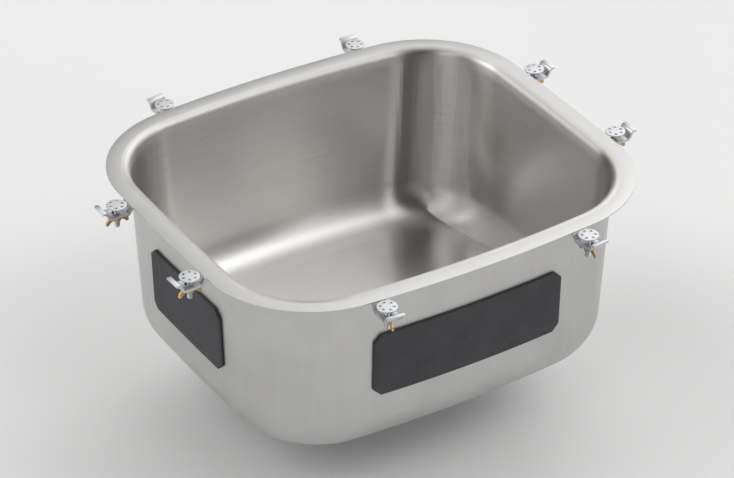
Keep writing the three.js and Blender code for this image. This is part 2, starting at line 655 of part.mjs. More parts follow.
// The stem, from its pin in the strainer's cross up to the knob.
function stem() {
  const pinEnd = OUTLET_TOP - PIN_IN_CROSS - STOPPER_TRAVEL;
  const collar = STOPPER_Z + STOPPER_THICKNESS + SEAT_GAP;
  const profile = [
    [0, pinEnd],
    [PIN_RADIUS - 1, pinEnd],
    [PIN_RADIUS, pinEnd + 1],
    [PIN_RADIUS, collar],
    [STEM_RADIUS, collar],
    [STEM_RADIUS, KNOB_BOTTOM - SEAT_GAP],
    [0, KNOB_BOTTOM - SEAT_GAP],
  ];
  return revolve(profile, SMALL_STEPS);
}

function knob() {
  const top = KNOB_BOTTOM + KNOB_HEIGHT;
  const profile = [
    [0, KNOB_BOTTOM],
    [STEM_RADIUS + 1.5, KNOB_BOTTOM],
    [STEM_RADIUS + 1, KNOB_BOTTOM + KNOB_HEIGHT / 3],
    [KNOB_RADIUS - 1, top - 4],
    ...arc(KNOB_RADIUS - 1.5, top - 2, 1.5, -45, 70, 2),
    [0, top],
  ];
  return revolve(profile, 2 * SMALL_STEPS);
}

function stopper() {
  const rim = OUTLET_RADIUS + STOPPER_OVERLAP;
  const bore = PIN_RADIUS + TURN_GAP;
  const top = STOPPER_Z + STOPPER_THICKNESS;
  return revolve([
    [bore, STOPPER_Z],
    [rim - 1.5, STOPPER_Z],
    [rim, STOPPER_Z + 1.2],
    [rim - 2, STOPPER_Z + STOPPER_THICKNESS / 2],
    [STEM_RADIUS + 4, top],
    [bore, top],
  ]);
}

function addBasket() {
  addMesh("basket_cup", basketCup(), polishedSteel);
  addMesh("stopper_stem", stem(), polishedSteel);
  addMesh("stopper_knob", knob(), polishedSteel);
  addMesh("rubber_stopper", stopper(), sealRubber);
}

// ---------------------------------------------------------------- assembly

addMesh("bowl", bowl(), brushedSteel);
addSoundPads();
addClamps();
addStrainer();
addBasket();

export default model;
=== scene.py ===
# An undermount kitchen sink: a drawn stainless bowl with sound pads, clamps and a basket strainer.
# Sizes are in millimetres unless a name ends in _M. Meshes are made in metres, in the frame of the packed
# model: the origin is the centre of the bowl's opening at the flange's top face, and X runs along the long
# sides.
import math

import bmesh
import bpy
from mathutils import Matrix, Vector


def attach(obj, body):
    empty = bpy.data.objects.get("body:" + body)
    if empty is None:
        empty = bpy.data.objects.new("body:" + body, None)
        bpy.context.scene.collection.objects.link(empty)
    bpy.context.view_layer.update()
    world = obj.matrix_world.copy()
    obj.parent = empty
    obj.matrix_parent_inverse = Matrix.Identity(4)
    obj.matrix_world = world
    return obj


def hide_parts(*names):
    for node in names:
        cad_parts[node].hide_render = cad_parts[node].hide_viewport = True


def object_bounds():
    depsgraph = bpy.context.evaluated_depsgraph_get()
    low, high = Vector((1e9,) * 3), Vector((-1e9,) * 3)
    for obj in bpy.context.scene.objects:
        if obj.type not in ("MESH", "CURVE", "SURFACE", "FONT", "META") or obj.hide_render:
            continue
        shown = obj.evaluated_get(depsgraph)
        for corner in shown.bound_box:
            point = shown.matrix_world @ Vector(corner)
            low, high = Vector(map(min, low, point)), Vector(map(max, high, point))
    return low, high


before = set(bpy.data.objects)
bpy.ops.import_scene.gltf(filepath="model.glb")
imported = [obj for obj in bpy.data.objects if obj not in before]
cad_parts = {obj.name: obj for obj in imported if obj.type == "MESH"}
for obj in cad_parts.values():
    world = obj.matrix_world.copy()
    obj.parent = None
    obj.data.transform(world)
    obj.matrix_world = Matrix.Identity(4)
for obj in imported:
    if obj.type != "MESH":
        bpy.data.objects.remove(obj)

cad_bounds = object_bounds()
MM = 0.001
UP = Vector((0, 0, 1))

# ------------------------------------------------------------------ sizes of the model

BOWL_LENGTH = 457
BOWL_WIDTH = 395
BOWL_DEPTH = 216
SHEET = 1.25
FLANGE_WIDTH = 25.5
CORNER_RADIUS = 96
CORNER_GROWTH = 8
LONG_SIDE_RADIUS = 1500
SHORT_SIDE_RADIUS = 4200
WALL_LEAN = math.radians(1.6)
RIM_RADIUS = 6.5
FLOOR_RADIUS = 45
FLOOR_FALL = 3.5
DRAIN_HOLE_RADIUS = 45
RECESS_MARGIN = 12
RECESS_STEP = 3
RECESS_SLOPE = 3

PAD_THICKNESS = 3
PAD_BOND = 0.5
PAD_FROM_CORNER = 24
PAD_BELOW_FLANGE = 62
PAD_ABOVE_BEND = 28
PAD_CHAMFER = 9
BOTTOM_PAD_MARGIN = 6
BOTTOM_PAD_RELIEF = 12

CLAMP_FROM_CORNER = 20
PLATE_RADIUS = 11
PLATE_THICKNESS = 1.3
PLATE_HOLES = 6
PLATE_HOLE_RADIUS = 1.7
PLATE_TO_FLANGE = 1.5
STUD_RADIUS = 3
STUD_LENGTH = 27
STUD_CHAMFER = 0.8
STRAP_WIDTH = 20
STRAP_THICKNESS = 2.5
STRAP_DROP = 9
STRAP_BITE = 8
STRAP_RAMP = 5
STRAP_HEEL = 5
STRAP_SLOT = 5
NUT_RADIUS = 5.5
NUT_HEIGHT = 7.5
NUT_TAPER = 1.2
WING_SPAN = 29
WING_RISE = 5
WING_THICKNESS = 2.2

STRAINER_SHEET = 1.5
STRAINER_LIP = 1.6
LIP_TO_STEP = 1
SEAL_THICKNESS = 1.2
DRAIN_CLEARANCE = 2.1
LIP_BEND = 4
SHOULDER_DEPTH = 14
SHOULDER_WIDTH = 2.6
CUP_TAPER = 3
CUP_BEND = 8
OUTLET_RADIUS = 20
OUTLET_WALL = 3.4
OUTLET_LENGTH = 24
COLLAR_REACH = 3.5
COLLAR_THICKNESS = 2
CROSS_BAR = 4
CROSS_HEIGHT = 4
CROSS_HUB_WALL = 3.5
RUBBER_WASHER = 3.2
FIBRE_WASHER = 1.4
WASHER_MARGIN = 12
LOCK_NUT_WALL = 7.5
LOCK_NUT_HEIGHT = 11
LOCK_NUT_LUGS = 6
LUG_REACH = 5
LUG_WIDTH = 14
LUG_HEIGHT = 7

BASKET_SHEET = 0.9
BASKET_RIM = 1.2
BASKET_CLEARANCE = 0.6
BASKET_WALL_CLEARANCE = 1.2
BASKET_DEPTH = 20
BASKET_TAPER = 4.5
BASKET_BEND = 4
BASKET_SLOTS = 16
BASKET_SLOT_WIDTH = 3.2
BASKET_SLOT_HEIGHT = 9
BASKET_HOLE_RADIUS = 2.3
BASKET_HOLE_RINGS = (8, 14)
STEM_RADIUS = 4
PIN_RADIUS = 2.6
PIN_IN_CROSS = 3
STOPPER_TRAVEL = 11
STOPPER_OVERLAP = 6
STOPPER_THICKNESS = 5
KNOB_RADIUS = 12
KNOB_HEIGHT = 9
KNOB_OVER_LIP = 4

SEAT_GAP = 0.3
TURN_GAP = 0.35

# ------------------------------------------------------------------ sizes of the finish

SHEET_EDGE = 0.35  # rounding of the sheet's cut edges
BRUSH_DEPTH = 0.02  # how deep brushing, drawing and turning lines are cut
POLISH_ON_FLANGE = 3  # how far the brushed finish runs out onto the flange
PAD_EDGE = 1.1  # rounding of the pads' edges
CAST_VOXEL = 0.4  # how finely the cast nuts' blended surface is divided
STRAP_INNER_BEND = 1.2
STRAP_OUTER_BEND = 3.2
STRAP_MITER = 0.6  # how far the underside's bends shift, as a share of the strap's thickness
STRAP_EDGE = 0.5
STRAP_BEVEL = 0.35
STUD_WELD = 0.9  # radius of the weld under a foot
STUD_PITCH = 1
STUD_THREAD_DEPTH = 0.55
OUTLET_PITCH = 2.2
OUTLET_THREAD_DEPTH = 1.1
NECK_PITCH = 2
NECK_THREAD_DEPTH = 0.8
LOCK_NUT_BEVEL = 0.7
BASKET_SLOT_CORNER = 1.5
RECESS_FOOT_BLEND = 0.6  # how far the drain recess's slope is softened past its foot
RECESS_BRIM_BLEND = 0.4  # and past its brim
FLOOR_DISH = 1.25  # power by which the floor falls towards the drain
STRIP_MIDDLE = 203.5  # where the side strips' polish meets the floor's, at the middle of the side
STRIP_RADIUS = 413  # the bow of that line
STRIP_END = 20  # the strips end in the corners on the line |x| - |y| = this
STRIP_PAINTED_SHEEN = 0.45  # painted sheen: the side strips are painted a little lighter, in place of the brighter light they reflect
WALL_POLISH_DEPTH = 181  # depth at which the walls' polish meets the floor bend's
WALL_POLISH_RAGGED = 5  # how unevenly it ends there
WALL_POLISH_BLEND = 5  # how far above and below that depth the two overlap
FLUTE_HEIGHT = 0.45  # shallow upright flutes that drawing and polishing leave in the corners
FLUTES_FROM = 6  # how far into a corner the flutes begin
FLUTES_FULL = 34  # and how far in they have their full height
TINY = 0.01  # too small to see: keeps two points apart, or lets two sizes count as the same

# ------------------------------------------------------------------ depths and radii that follow from them

LONG_SIDE_CENTRE = BOWL_WIDTH / 2 - LONG_SIDE_RADIUS
SHORT_SIDE_CENTRE = BOWL_LENGTH / 2 - SHORT_SIDE_RADIUS
RECESS_FOOT = DRAIN_HOLE_RADIUS + RECESS_MARGIN
RECESS_RADIUS = RECESS_FOOT + RECESS_SLOPE
SEAT_DEPTH = BOWL_DEPTH + RECESS_STEP
WALL_FOOT_DEPTH = BOWL_DEPTH - FLOOR_FALL - FLOOR_RADIUS
SIN_LEAN = math.sin(WALL_LEAN)
COS_LEAN = math.cos(WALL_LEAN)
WALL_LENGTH = (WALL_FOOT_DEPTH + FLOOR_RADIUS * SIN_LEAN - RIM_RADIUS * (1 - SIN_LEAN)) / COS_LEAN
FLOOR_EDGE_INSET = WALL_LENGTH * SIN_LEAN + FLOOR_RADIUS * COS_LEAN - RIM_RADIUS * (1 - COS_LEAN)

STUD_AT = PLATE_TO_FLANGE + PLATE_RADIUS
STRAP_UNDERSIDE = -STRAP_DROP - STRAP_THICKNESS

THREAD_RADIUS = DRAIN_HOLE_RADIUS - DRAIN_CLEARANCE
CUP_RADIUS = THREAD_RADIUS - STRAINER_SHEET
SHELF_RADIUS = CUP_RADIUS - SHOULDER_WIDTH
LIP_UNDERSIDE = SEAL_THICKNESS - SEAT_DEPTH
LIP_TOP = LIP_UNDERSIDE + STRAINER_LIP
LIP_RADIUS = RECESS_FOOT - LIP_TO_STEP
SHOULDER_Z = LIP_TOP - SHOULDER_DEPTH
BASKET_FLOOR_Z = SHOULDER_Z - BASKET_DEPTH
STOPPER_Z = BASKET_FLOOR_Z - SEAT_GAP - STOPPER_TRAVEL - STOPPER_THICKNESS
CUP_FLOOR_Z = STOPPER_Z - SEAT_GAP
OUTLET_TOP = CUP_FLOOR_Z - STRAINER_SHEET - SEAT_GAP
OUTLET_Z = CUP_FLOOR_Z - OUTLET_LENGTH
WASHER_TOP = -SEAT_DEPTH - SHEET
FIBRE_TOP = WASHER_TOP - RUBBER_WASHER
NUT_TOP = FIBRE_TOP - FIBRE_WASHER
KNOB_BOTTOM = LIP_TOP + KNOB_OVER_LIP - KNOB_HEIGHT

# ------------------------------------------------------------------ how finely the meshes are divided

CORNER_STEPS = 40
LONG_SIDE_STEPS = 36
SHORT_SIDE_STEPS = 26
RIM_STEPS = 10
WALL_STEPS = 14
FLOOR_BEND_STEPS = 26
FLOOR_STEPS = 16
EDGE_STEPS = 3
TURNED_STEPS = 144
STUD_STEPS = 24
ROUND_STEPS = 6
THREAD_ROWS = 10  # rings of points in each turn of a thread
RECESS_STEPS = 8
PAD_COLUMNS = 40
PAD_ROWS = 18
PAD_ROW_EDGE = 0.02  # share of a wall pad's height that its rounded edge takes
PAD_EDGE_ROWS = (0, 0.25, 0.6, 1)  # where a rounded edge has its rows, as shares of its width
BOTTOM_PAD_STEPS = 12
SLOT_END_STEPS = 10
WELD_STEPS = 4
HUB_STEPS = 48  # around the glued feet and the hubs
FOOT_HOLE_STEPS = 20
BASKET_HOLE_STEPS = 24
STEM_STEPS = 64
KNOB_STEPS = 96  # around the knob and the rubber disc
CAST_SMOOTHING = 4  # rounds of smoothing that blend the cast nuts' forms
SHARP_ANGLE = math.radians(32)
BEVEL_ANGLE = math.radians(38)


# ------------------------------------------------------------------ mesh tools


def new_piece(name, vertices, faces, material):
    """A mesh object at the origin from points in millimetres, smooth except at edges over the sharp angle."""
    mesh = bpy.data.meshes.new(name)
    mesh.from_pydata([Vector(v) * MM for v in vertices], [], faces)
    piece = bpy.data.objects.new(name, mesh)
    bpy.context.scene.collection.objects.link(piece)
    mesh.materials.append(material)
    soften(piece)
    return piece


def soften(piece, sharp=SHARP_ANGLE):
    """Shades a piece smooth, except at edges that turn by more than the sharp angle."""
    piece.data.shade_smooth()
    piece.data.set_sharp_from_angle(angle=sharp)


def bake(piece, sharp=SHARP_ANGLE):
    """Makes a piece's modifiers part of its own plain mesh."""
    depsgraph = bpy.context.evaluated_depsgraph_get()
    mesh = bpy.data.meshes.new_from_object(
        piece.evaluated_get(depsgraph), preserve_all_data_layers=True, depsgraph=depsgraph
    )
    piece.modifiers.clear()
    piece.data = mesh
    mesh.name = piece.name
    soften(piece, sharp)
    return piece


def discard(*pieces):
    for piece in pieces:
        bpy.data.objects.remove(piece)


def join(name, *pieces):
    """One object that holds the meshes of several."""
    joined = bmesh.new()
    for piece in pieces:
        joined.from_mesh(piece.data)
    mesh = bpy.data.meshes.new(name)
    joined.to_mesh(mesh)
    joined.free()
    mesh.materials.append(pieces[0].data.materials[0])
    whole = bpy.data.objects.new(name, mesh)
    bpy.context.scene.collection.objects.link(whole)
    discard(*pieces)
    soften(whole)
    return whole


def combine(piece, other, operation):
    """Joins another closed piece to this one, or cuts it out, and removes the other."""
    modifier = piece.modifiers.new(operation, "BOOLEAN")
    modifier.operation = operation
    modifier.solver = "MANIFOLD"
    modifier.object = other
    bake(piece)
    discard(other)
    return piece


def bevel(piece, width, segments=2):
    modifier = piece.modifiers.new("bevel", "BEVEL")
    modifier.width = width * MM
    modifier.segments = segments
    modifier.limit_method = "ANGLE"
    modifier.angle_limit = BEVEL_ANGLE
    return bake(piece)


def recalculate(piece):
    """Turns all faces of a closed piece outwards."""
    cleaned = bmesh.new()
    cleaned.from_mesh(piece.data)
    bmesh.ops.recalc_face_normals(cleaned, faces=cleaned.faces)
    cleaned.to_mesh(piece.data)
    cleaned.free()


def turn_about_z(piece, angle):
    """Turns a piece's own mesh about Z, with its faces outwards."""
    piece.data.transform(Matrix.Rotation(angle, 4, "Z"))
    recalculate(piece)


def rounded(corners, steps=ROUND_STEPS):
    """An outline whose corners, given as (x, y, radius), are arcs. A corner of radius 0 stays sharp."""
    points = []
    for i, (x, y, radius) in enumerate(corners):
        here = Vector((x, y))
        if radius == 0:
            points.append(tuple(here))
            continue
        back = (Vector(corners[i - 1][:2]) - here).normalized()
        ahead = (Vector(corners[(i + 1) % len(corners)][:2]) - here).normalized()
        half = back.angle(ahead) / 2
        centre = here + (back + ahead).normalized() * radius / math.sin(half)
        start = here + back * radius / math.tan(half) - centre
        end = here + ahead * radius / math.tan(half) - centre
        sweep = math.atan2(start.x * end.y - start.y * end.x, start.dot(end))
        for k in range(steps + 1):
            turn = Matrix.Rotation(sweep * k / steps, 2)
            points.append(tuple(centre + turn @ start))
    return points


def arc(centre_radius, centre_z, radius, start, end, steps):
    """Points on an arc in a profile, both ends included. Angles in degrees."""
    angles = [math.radians(start + (end - start) * i / steps) for i in range(steps + 1)]
    return [(centre_radius + radius * math.cos(a), centre_z + radius * math.sin(a)) for a in angles]


def revolve(profile, steps, radius_at):
    """Vertices and faces of a solid turned about Z. The profile is (radius, z) pairs, anticlockwise with
    radius to the right. It closes on itself, or starts and ends on the axis."""
    vertices, rings = [], []
    for radius, z in profile:
        if radius == 0:
            rings.append([len(vertices)] * steps)
            vertices.append((0, 0, z))
            continue
        rings.append(list(range(len(vertices), len(vertices) + steps)))
        for i in range(steps):
            angle = 2 * math.pi * i / steps
            here = radius_at(radius, z, angle) if radius_at else radius
            vertices.append((here * math.cos(angle), here * math.sin(angle), z))
    if profile[0][0] != 0:
        rings.append(rings[0])
    faces = []
    for lower, upper in zip(rings, rings[1:]):
        for i in range(steps):
            j = (i + 1) % steps
            corners = [lower[i], lower[j], upper[j], upper[i]]
            faces.append(list(dict.fromkeys(corners)))
    return vertices, [face for face in faces if len(face) > 2]


def turned(name, profile, material, steps=TURNED_STEPS, radius_at=None):
    return new_piece(name, *revolve(profile, steps, radius_at), material)


def extruded(name, outline, low, high, material):
    """An outline in the XZ plane, anticlockwise seen from -Y, as a plate from y = low to y = high."""
    count = len(outline)
    vertices = [(x, y, z) for y in (low, high) for x, z in outline]
    faces = [list(range(count)), list(range(2 * count - 1, count - 1, -1))]
    for i in range(count):
        j = (i + 1) % count
        faces.append([j, i, i + count, j + count])
    return new_piece(name, vertices, faces, material)


def grid(columns, rows, point, flip=False):
    """Vertices and quads of a sheet of points, with point(column, row)."""
    vertices = [point(i, j) for i in range(columns) for j in range(rows)]
    faces = []
    for i in range(columns - 1):
        for j in range(rows - 1):
            a = i * rows + j
            face = [a, a + rows, a + rows + 1, a + 1]
            faces.append(face[::-1] if flip else face)
    return vertices, faces


def loft(rings):
    """Quads through rings of equally many points. The last ring joins the first."""
    size = len(rings[0])
    vertices = [point for ring in rings for point in ring]
    faces = []
    for k in range(len(rings)):
        here, after = k * size, (k + 1) % len(rings) * size
        for i in range(size):
            j = (i + 1) % size
            faces.append([here + i, after + i, after + j, here + j])
    return vertices, faces


def thread(crest, pitch, depth, bottom, top):
    """How far out a threaded wall's points lie. The thread dies out at both ends."""

    def radius_at(radius, z, angle):
        if not bottom < z < top or radius < crest - TINY:
            return radius
        fade = min(1, (z - bottom) / pitch, (top - z) / pitch)
        wave = 0.5 - 0.5 * math.cos(2 * math.pi * (z / pitch) - angle)
        return radius - depth * fade * wave

    return radius_at


def threaded_wall(radius, bottom, top, pitch):
    rows = math.ceil((top - bottom) / pitch * THREAD_ROWS)
    return [(radius, bottom + (top - bottom) * i / rows) for i in range(rows + 1)]


# ------------------------------------------------------------------ node tools


def add_node(tree, kind, inputs=(), **settings):
    """A node with its settings, whose inputs are linked from sockets or set to values."""
    node = tree.nodes.new(kind)
    for name, value in settings.items():
        setattr(node, name, value)
    for key, value in dict(inputs).items():
        if isinstance(value, bpy.types.NodeSocket):
            tree.links.new(value, node.inputs[key])
        else:
            node.inputs[key].default_value = value
    return node


def maths(tree, operation, *values, clamp=False):
    node = add_node(tree, "ShaderNodeMath", dict(enumerate(values)), operation=operation, use_clamp=clamp)
    return node.outputs[0]


def vector_maths(tree, operation, *values):
    node = add_node(tree, "ShaderNodeVectorMath", dict(enumerate(values)), operation=operation)
    return node.outputs["Value" if operation in ("DOT_PRODUCT", "LENGTH") else "Vector"]


def between(tree, value, low, high, to_low=0.0, to_high=1.0):
    """A value mapped smoothly from one range to another, and held at its ends."""
    inputs = {"Value": value, "From Min": low, "From Max": high, "To Min": to_low, "To Max": to_high}
    return add_node(tree, "ShaderNodeMapRange", inputs, interpolation_type="SMOOTHSTEP").outputs["Result"]


def blend_vectors(tree, mask, first, second):
    """A Mix node's sockets for vectors and for colours have the same names, so numbers tell them apart."""
    return add_node(tree, "ShaderNodeMix", {0: mask, 4: first, 5: second}, data_type="VECTOR").outputs[1]


def blend_colours(tree, factor, first, second):
    return add_node(tree, "ShaderNodeMix", {0: factor, 6: first, 7: second}, data_type="RGBA").outputs[2]


def part_way(tree, first, second, share):
    """A value between two others, nearer the second as the share grows."""
    return maths(tree, "MULTIPLY_ADD", maths(tree, "SUBTRACT", second, first), share, first)


def laid_over(tree, base, pattern, share):
    """A share of a pattern from 0 to 1, centred on 0, added to a base that is centred on 0 too."""
    return maths(tree, "MULTIPLY_ADD", maths(tree, "SUBTRACT", pattern, 0.5), share, base)


def noise(tree, vector, scale, detail=3.0, roughness=0.55):
    inputs = {"Vector": vector, "Scale": scale, "Detail": detail, "Roughness": roughness}
    return add_node(tree, "ShaderNodeTexNoise", inputs).outputs["Fac"]


def new_group(name, kind, inputs, outputs):
    """A node group with named sockets. Returns the group, its inputs' values and its outputs."""
    group = bpy.data.node_groups.new(name, kind)
    for label, socket_type, default in inputs:
        socket = group.interface.new_socket(label, in_out="INPUT", socket_type=socket_type)
        if default is not None:
            socket.default_value = default
    for label, socket_type in outputs:
        group.interface.new_socket(label, in_out="OUTPUT", socket_type=socket_type)
    given = group.nodes.new("NodeGroupInput").outputs
    wanted = group.nodes.new("NodeGroupOutput").inputs
    return group, given, wanted


def socket_name(keyword):
    return keyword.replace("_", " ").capitalize()


def use_group(tree, group, **inputs):
    sockets = {socket_name(key): value for key, value in inputs.items()}
    return add_node(tree, "ShaderNodeGroup", sockets, node_tree=group).outputs


# ------------------------------------------------------------------ shader groups

FLOAT, VECTOR = "NodeSocketFloat", "NodeSocketVector"
BROAD_RINGS = 0.12  # broad rings to each fine one, on turned metal
GRIT_PER_CELL = 1.7  # grains of grit to each cell, on grained surfaces


def brush_lines_group():
    """Streaks of a belt or wheel. The vector is squeezed along the streaks before it comes in."""
    group, given, wanted = new_group(
        "brush lines",
        "ShaderNodeTree",
        [
            ("Vector", VECTOR, None),
            ("Coarse", FLOAT, None),
            ("Fine", FLOAT, None),
            ("Fine share", FLOAT, 0.5),
        ],
        [("Tone", FLOAT), ("Height", FLOAT)],
    )
    coarse = noise(group, given["Vector"], given["Coarse"], detail=4.0, roughness=0.6)
    fine = noise(group, given["Vector"], given["Fine"], detail=2.0, roughness=0.5)
    tone = part_way(group, coarse, fine, given["Fine share"])
    group.links.new(between(group, tone, low=0.3, high=0.7), wanted["Tone"])
    group.links.new(fine, wanted["Height"])
    return group


def turning_lines_group():
    """Rings left by turning or spinning about Z."""
    group, given, wanted = new_group(
        "turning lines",
        "ShaderNodeTree",
        [("Vector", VECTOR, None), ("Fine", FLOAT, 2500.0), ("Along", FLOAT, 0.004)],
        [("Tone", FLOAT), ("Height", FLOAT)],
    )
    axes = add_node(group, "ShaderNodeSeparateXYZ", {0: given["Vector"]}).outputs
    flat = add_node(group, "ShaderNodeCombineXYZ", {0: axes["X"], 1: axes["Y"]}).outputs[0]
    radius = vector_maths(group, "LENGTH", flat)
    angle = maths(group, "ARCTAN2", axes["Y"], axes["X"])
    around = maths(group, "MULTIPLY", angle, given["Along"])
    ringed = add_node(group, "ShaderNodeCombineXYZ", {0: around, 1: radius, 2: axes["Z"]}).outputs[0]
    rings = noise(group, ringed, given["Fine"], detail=3.0, roughness=0.7)
    broad_scale = maths(group, "MULTIPLY", given["Fine"], BROAD_RINGS)
    broad = noise(group, ringed, broad_scale, detail=2.0)
    group.links.new(part_way(group, broad, rings, share=0.4), wanted["Tone"])
    group.links.new(rings, wanted["Height"])
    return group


def blotches_group():
    """Faint clouds from handling and wiping, centred on 0."""
    group, given, wanted = new_group(
        "blotches",
        "ShaderNodeTree",
        [("Vector", VECTOR, None), ("Scale", FLOAT, None), ("Strength", FLOAT, 1.0)],
        [("Value", FLOAT)],
    )
    cloud = noise(group, given["Vector"], given["Scale"], detail=5.0, roughness=0.5)
    centred = maths(group, "MULTIPLY", maths(group, "SUBTRACT", cloud, 0.5), given["Strength"])
    group.links.new(centred, wanted["Value"])
    return group


def pebble_group():
    """Small irregular grains, as on moulded rubber, pressed fibre and cast metal."""
    group, given, wanted = new_group(
        "pebble",
        "ShaderNodeTree",
        [("Vector", VECTOR, None), ("Scale", FLOAT, None), ("Roundness", FLOAT, 0.5)],
        [("Height", FLOAT), ("Mask", FLOAT)],
    )
    inputs = {"Vector": given["Vector"], "Scale": given["Scale"]}
    cells = add_node(group, "ShaderNodeTexVoronoi", inputs, feature="SMOOTH_F1").outputs["Distance"]
    grit_scale = maths(group, "MULTIPLY", given["Scale"], GRIT_PER_CELL)
    grit = noise(group, given["Vector"], grit_scale, detail=2.0)
    group.links.new(part_way(group, cells, grit, given["Roundness"]), wanted["Height"])
    group.links.new(between(group, grit, low=0.35, high=0.65), wanted["Mask"])
    return group


BRUSH_LINES = brush_lines_group()
TURNING_LINES = turning_lines_group()
BLOTCHES = blotches_group()
PEBBLE = pebble_group()

# ------------------------------------------------------------------ materials

STEEL = (0.62, 0.612, 0.595, 1)
MILL_STEEL = (0.55, 0.545, 0.535, 1)
POLISHED_STEEL = (0.68, 0.675, 0.665, 1)
ZINC = (0.60, 0.61, 0.625, 1)
BRASS = (0.66, 0.46, 0.20, 1)
PAD_RUBBER = (0.045, 0.046, 0.05, 1)
SEAL_RUBBER = (0.016, 0.016, 0.018, 1)
FIBRE = (0.36, 0.23, 0.12, 1)

# The scales of patterns are per metre. A pattern whose coordinates are squeezed in one direction runs in long
# lines along it.
BRUSH_SQUEEZE = 0.012
FLUTE_SQUEEZE = 0.03
DRAWN_SQUEEZE = 0.05
FLUTES_PER_METRE = 120.0
BRUSHED_ROUGHNESS = 0.29
BRUSHED_ROUGH_SPREAD = 0.10  # how far the roughness follows the brush lines and clouds
STRIP_ROUGHER = 0.08  # how much rougher the side strips are
RIM_ROUGHER = 0.12  # and the rim, where the belt bends over
BRUSHED_CONTRAST = 0.25  # how far the colour goes lighter and darker
TONE_IN_COLOUR = 0.6  # how much of the brush lines and clouds the colour takes
LINES_IN_HEIGHT = 0.1  # height of the brush lines beside the flutes, in brush depths
BRUSHED_STRETCH = 0.92  # how far the brushing stretches the highlights
QUARTER_TURN = 0.25  # they stretch across its lines


def new_material(name):
    """A material with its tree, its main shader and the object's own coordinates."""
    material = bpy.data.materials.new(name)
    material.use_nodes = True
    tree = material.node_tree
    coordinates = tree.nodes.new("ShaderNodeTexCoord").outputs["Object"]
    return material, tree, tree.nodes["Principled BSDF"].inputs, coordinates


def shade(tree, colour, value, share):
    """A colour made lighter or darker by a value centred on 0."""
    light = [min(1, c * (1 + share)) for c in colour[:3]] + [1]
    dark = [c * (1 - share) for c in colour[:3]] + [1]
    factor = maths(tree, "ADD", value, 0.5, clamp=True)
    return blend_colours(tree, factor, dark, light)


def set_finish(tree, shader, tone, colour, contrast, roughness, rough_spread):
    """Colour and roughness that both follow one tone, which is centred on 0."""
    tree.links.new(shade(tree, colour, tone, contrast), shader["Base Color"])
    tree.links.new(maths(tree, "MULTIPLY_ADD", tone, rough_spread, roughness), shader["Roughness"])


def bump(tree, shader, height, strength, depth):
    inputs = {"Strength": strength, "Distance": depth * MM, "Height": height}
    tree.links.new(add_node(tree, "ShaderNodeBump", inputs).outputs["Normal"], shader["Normal"])


def brushing_direction(tree, x, y, wall, strip):
    """The way the belt ran. All directions turn the same way round the bowl, so blended ones don't cancel."""
    normal = add_node(tree, "ShaderNodeNewGeometry").outputs["Normal"]
    around = vector_maths(tree, "CROSS_PRODUCT", tuple(UP), normal)
    along_floor = add_node(tree, "ShaderNodeCombineXYZ", {0: maths(tree, "SIGN", y)}).outputs[0]
    across = maths(tree, "SIGN", maths(tree, "MULTIPLY", x, -1.0))
    along_strip = add_node(tree, "ShaderNodeCombineXYZ", {1: across}).outputs[0]
    along_low = blend_vectors(tree, strip, along_floor, along_strip)
    return blend_vectors(tree, wall, along_low, around)


def brushed_lines(tree, position, wall, strip):
    """Brush lines that run along each part's own brushing."""
    low_scale = blend_vectors(tree, strip, (BRUSH_SQUEEZE, 1, 1), (1, BRUSH_SQUEEZE, 1))
    scale = blend_vectors(tree, wall, low_scale, (BRUSH_SQUEEZE, BRUSH_SQUEEZE, 1))
    squeezed = vector_maths(tree, "MULTIPLY", position, scale)
    return use_group(tree, BRUSH_LINES, vector=squeezed, coarse=420.0, fine=1500.0, fine_share=0.65)


def corner_flutes(tree, side, end, ragged):
    """The height of the corners' flutes, in brush depths."""
    past_side = maths(tree, "SUBTRACT", side, (BOWL_LENGTH / 2 - CORNER_RADIUS) * MM)
    past_end = maths(tree, "SUBTRACT", end, (BOWL_WIDTH / 2 - CORNER_RADIUS) * MM)
    corner = between(tree, maths(tree, "MINIMUM", past_side, past_end), FLUTES_FROM * MM, FLUTES_FULL * MM)
    return maths(tree, "MULTIPLY", maths(tree, "MULTIPLY", ragged, corner), FLUTE_HEIGHT / BRUSH_DEPTH)


